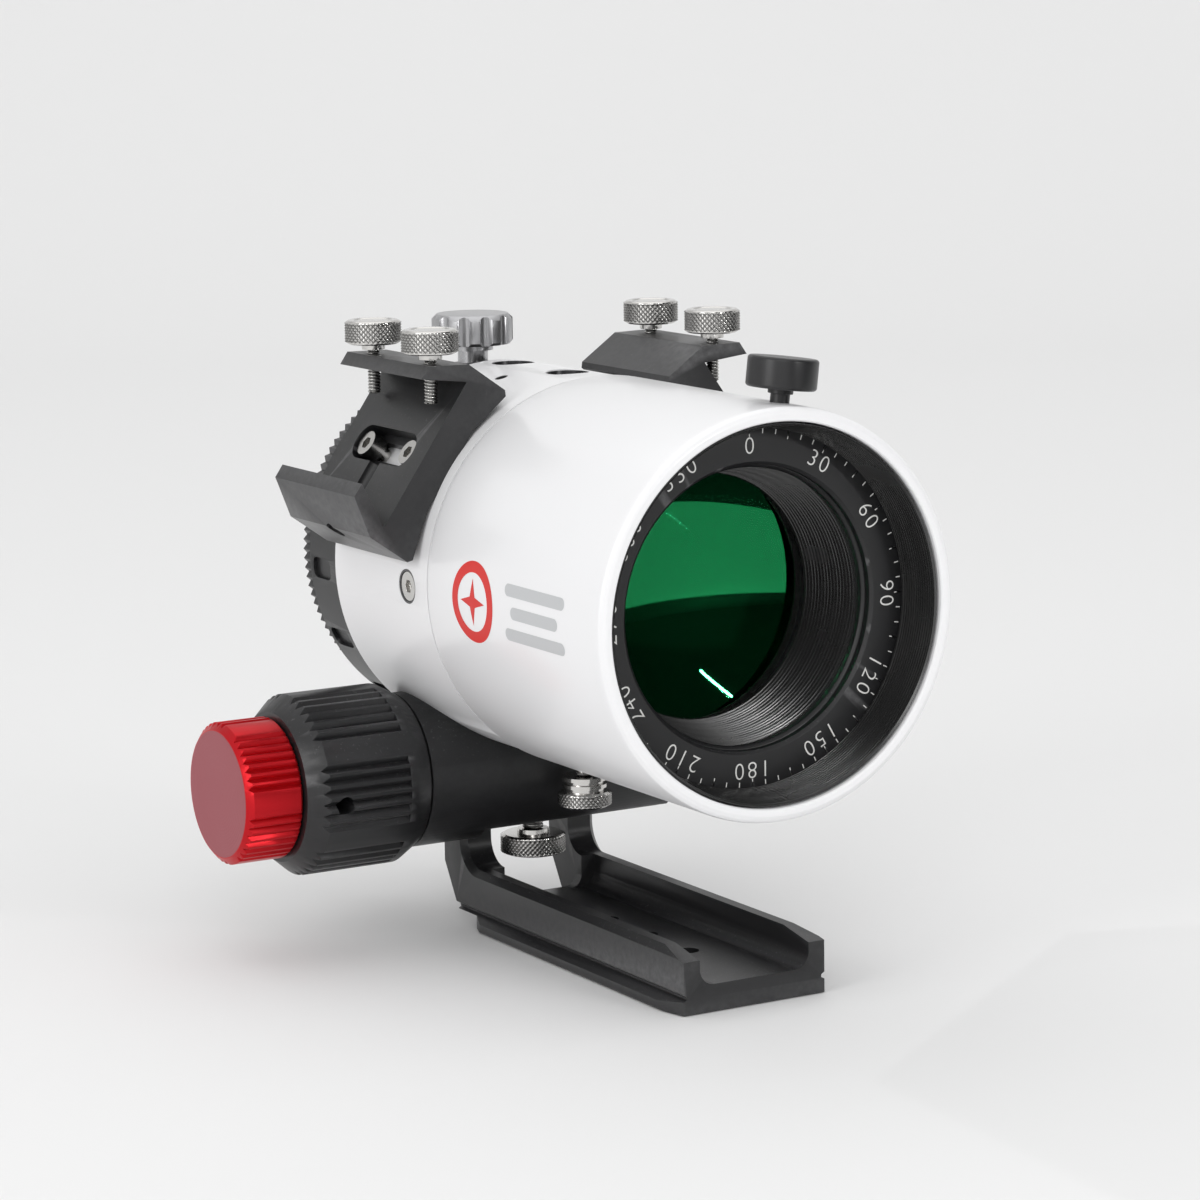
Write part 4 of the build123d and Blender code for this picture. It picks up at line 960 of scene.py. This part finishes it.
class ASTRO_OT_stage(bpy.types.Operator):
    """Set the seamless floor, the lights and the camera"""
    bl_idname = "astro.stage"
    bl_label = "Stage"

    def execute(self, context):
        self.sweep(context)
        self.cards()
        self.lights(context)
        self.camera(context)
        return {"FINISHED"}

    def sweep(self, context):
        """Seamless paper: a floor that curves up to a wall behind the object."""
        bm = bmesh.new()
        bend = 0.9
        line = [(-4.0, 0.0), (1.2, 0.0)]
        line += [(1.2 + bend * math.sin(a), bend - bend * math.cos(a)) for a in rows(0.05, math.pi / 2, 0.05)]
        line.append((1.2 + bend, 5.0))
        turn = Matrix.Rotation(math.radians(-CAMERA_TURN[0]), 3, "Z")
        sides = [[bm.verts.new(turn @ Vector((x, y, z - 0.0002))) for y, z in line] for x in (-5.0, 5.0)]
        for k in range(len(line) - 1):
            bm.faces.new((sides[0][k], sides[1][k], sides[1][k + 1], sides[0][k + 1]))
        paper = made("seamless_paper", bm)
        material, _, _ = principled("paper", context.scene.astro_stage.floor, 0.0, 0.75)
        paper.data.materials.append(material)

    def cards(self):
        """Black cards at the front right that only reflections see, and that keep the glass dark."""
        material, _, _ = principled("card", (0.012, 0.012, 0.012, 1), 0.0, 0.8)
        for name, corners in (
            ("standing_card",
             ((-0.20, -1.48, 0), (1.40, -0.34, 0), (1.40, -0.34, 1.3), (-0.20, -1.48, 1.3))),
            ("far_card", ((-0.07, -0.80, 0), (0.75, -0.27, 0), (1.36, -0.50, 0), (-0.13, -1.44, 0))),
            ("near_card", ((-0.01, -0.10, 0), (0.09, -0.03, 0), (0.235, -0.085, 0), (-0.02, -0.25, 0))),
        ):
            bm = bmesh.new()
            bm.faces.new([bm.verts.new(Vector(corner) + Z * 0.0006) for corner in corners])
            card = made(name, bm)
            card.data.materials.append(material)
            card.visible_camera = card.visible_diffuse = card.visible_shadow = False

    def lights(self, context):
        """A large soft box above, smaller ones at the left and the front, two thin strips for the
        glass, and an even world."""
        world = bpy.data.worlds.new("Studio")
        context.scene.world = world
        world.use_nodes = True
        world.node_tree.nodes["Background"].inputs[0].default_value = (1.0, 1.0, 1.0, 1)
        world.node_tree.nodes["Background"].inputs[1].default_value = context.scene.astro_stage.sky
        power = context.scene.astro_stage.key
        target = Vector((0, 0, 0.07))
        for name, place_at, wide, tall, watts, turn in (
            ("key_left", (-1.3, -0.35, 0.5), 0.5, 0.7, power, 0),
            ("top", (0.2, 0.5, 2.2), 2.6, 2.6, power * 3.5, 0),
            ("front", (-0.8, -1.3, 0.9), 0.6, 0.6, power * 0.8, 0),
            ("long_strip", (0.395, -1.0, 0.305), 0.19, 0.010, power * 0.3, -45),
            ("short_strip", (0.255, -1.0, 0.405), 0.13, 0.010, power * 0.2, -15),
        ):
            data = bpy.data.lights.new(name, "AREA")
            data.shape = "RECTANGLE"
            data.size, data.size_y = wide, tall
            data.energy = watts
            lamp = bpy.data.objects.new(name, data)
            lamp.location = place_at
            aim = (target - Vector(place_at)).to_track_quat("-Z", "Y")
            lamp.rotation_euler = (aim @ Quaternion(Z, math.radians(turn))).to_euler()
            context.scene.collection.objects.link(lamp)

    def camera(self, context):
        """A long lens, a little above and to the left of the front."""
        yaw, pitch, roll = (math.radians(a) for a in CAMERA_TURN)
        forward = Vector((math.sin(yaw) * math.cos(pitch), math.cos(yaw) * math.cos(pitch), -math.sin(pitch)))
        right = forward.cross(Z).normalized()
        up = right.cross(forward)
        level = right * math.cos(roll) + up * math.sin(roll)
        upright = up * math.cos(roll) - right * math.sin(roll)
        data = bpy.data.cameras.new("camera")
        data.lens = context.scene.astro_stage.lens
        data.sensor_width = 36.0
        data.clip_start = 0.01
        camera = bpy.data.objects.new("camera", data)
        axes = Matrix((level, upright, -forward)).transposed().to_4x4()
        camera.matrix_world = Matrix.Translation(Vector(CAMERA_PLACE) * MM) @ axes
        context.scene.collection.objects.link(camera)
        context.scene.camera = camera
        context.scene.view_settings.view_transform = "Standard"


OPERATORS = (
    ASTRO_OT_stage, ASTRO_OT_tube, ASTRO_OT_side_mark, ASTRO_OT_front, ASTRO_OT_dial, ASTRO_OT_optics,
    ASTRO_OT_thumbscrews, ASTRO_OT_knobs, ASTRO_OT_castings, ASTRO_OT_hole_shade, ASTRO_OT_rotator,
    ASTRO_OT_fasteners,
)


class ASTRO_PT_panel(bpy.types.Panel):
    """Buttons for each group of pieces"""
    bl_idname = "ASTRO_PT_panel"
    bl_label = "Short Astrograph"
    bl_space_type = "VIEW_3D"
    bl_region_type = "UI"
    bl_category = "Astrograph"

    def draw(self, context):
        for operator in OPERATORS:
            self.layout.operator(operator.bl_idname)


SETTINGS = {
    "astro_finish": FinishSettings, "astro_knurl": KnurlSettings, "astro_dial": DialSettings,
    "astro_stage": StageSettings,
}


def register():
    for each in (*SETTINGS.values(), *OPERATORS, ASTRO_PT_panel):
        bpy.utils.register_class(each)
    for name, settings in SETTINGS.items():
        setattr(bpy.types.Scene, name, bpy.props.PointerProperty(type=settings))


def unregister():
    for name in SETTINGS:
        delattr(bpy.types.Scene, name)
    for each in reversed((*SETTINGS.values(), *OPERATORS, ASTRO_PT_panel)):
        bpy.utils.unregister_class(each)


def main():
    register()
    for operator in OPERATORS:
        getattr(bpy.ops.astro, operator.bl_idname.split(".")[1])()


if __name__ == "__main__":
    main()
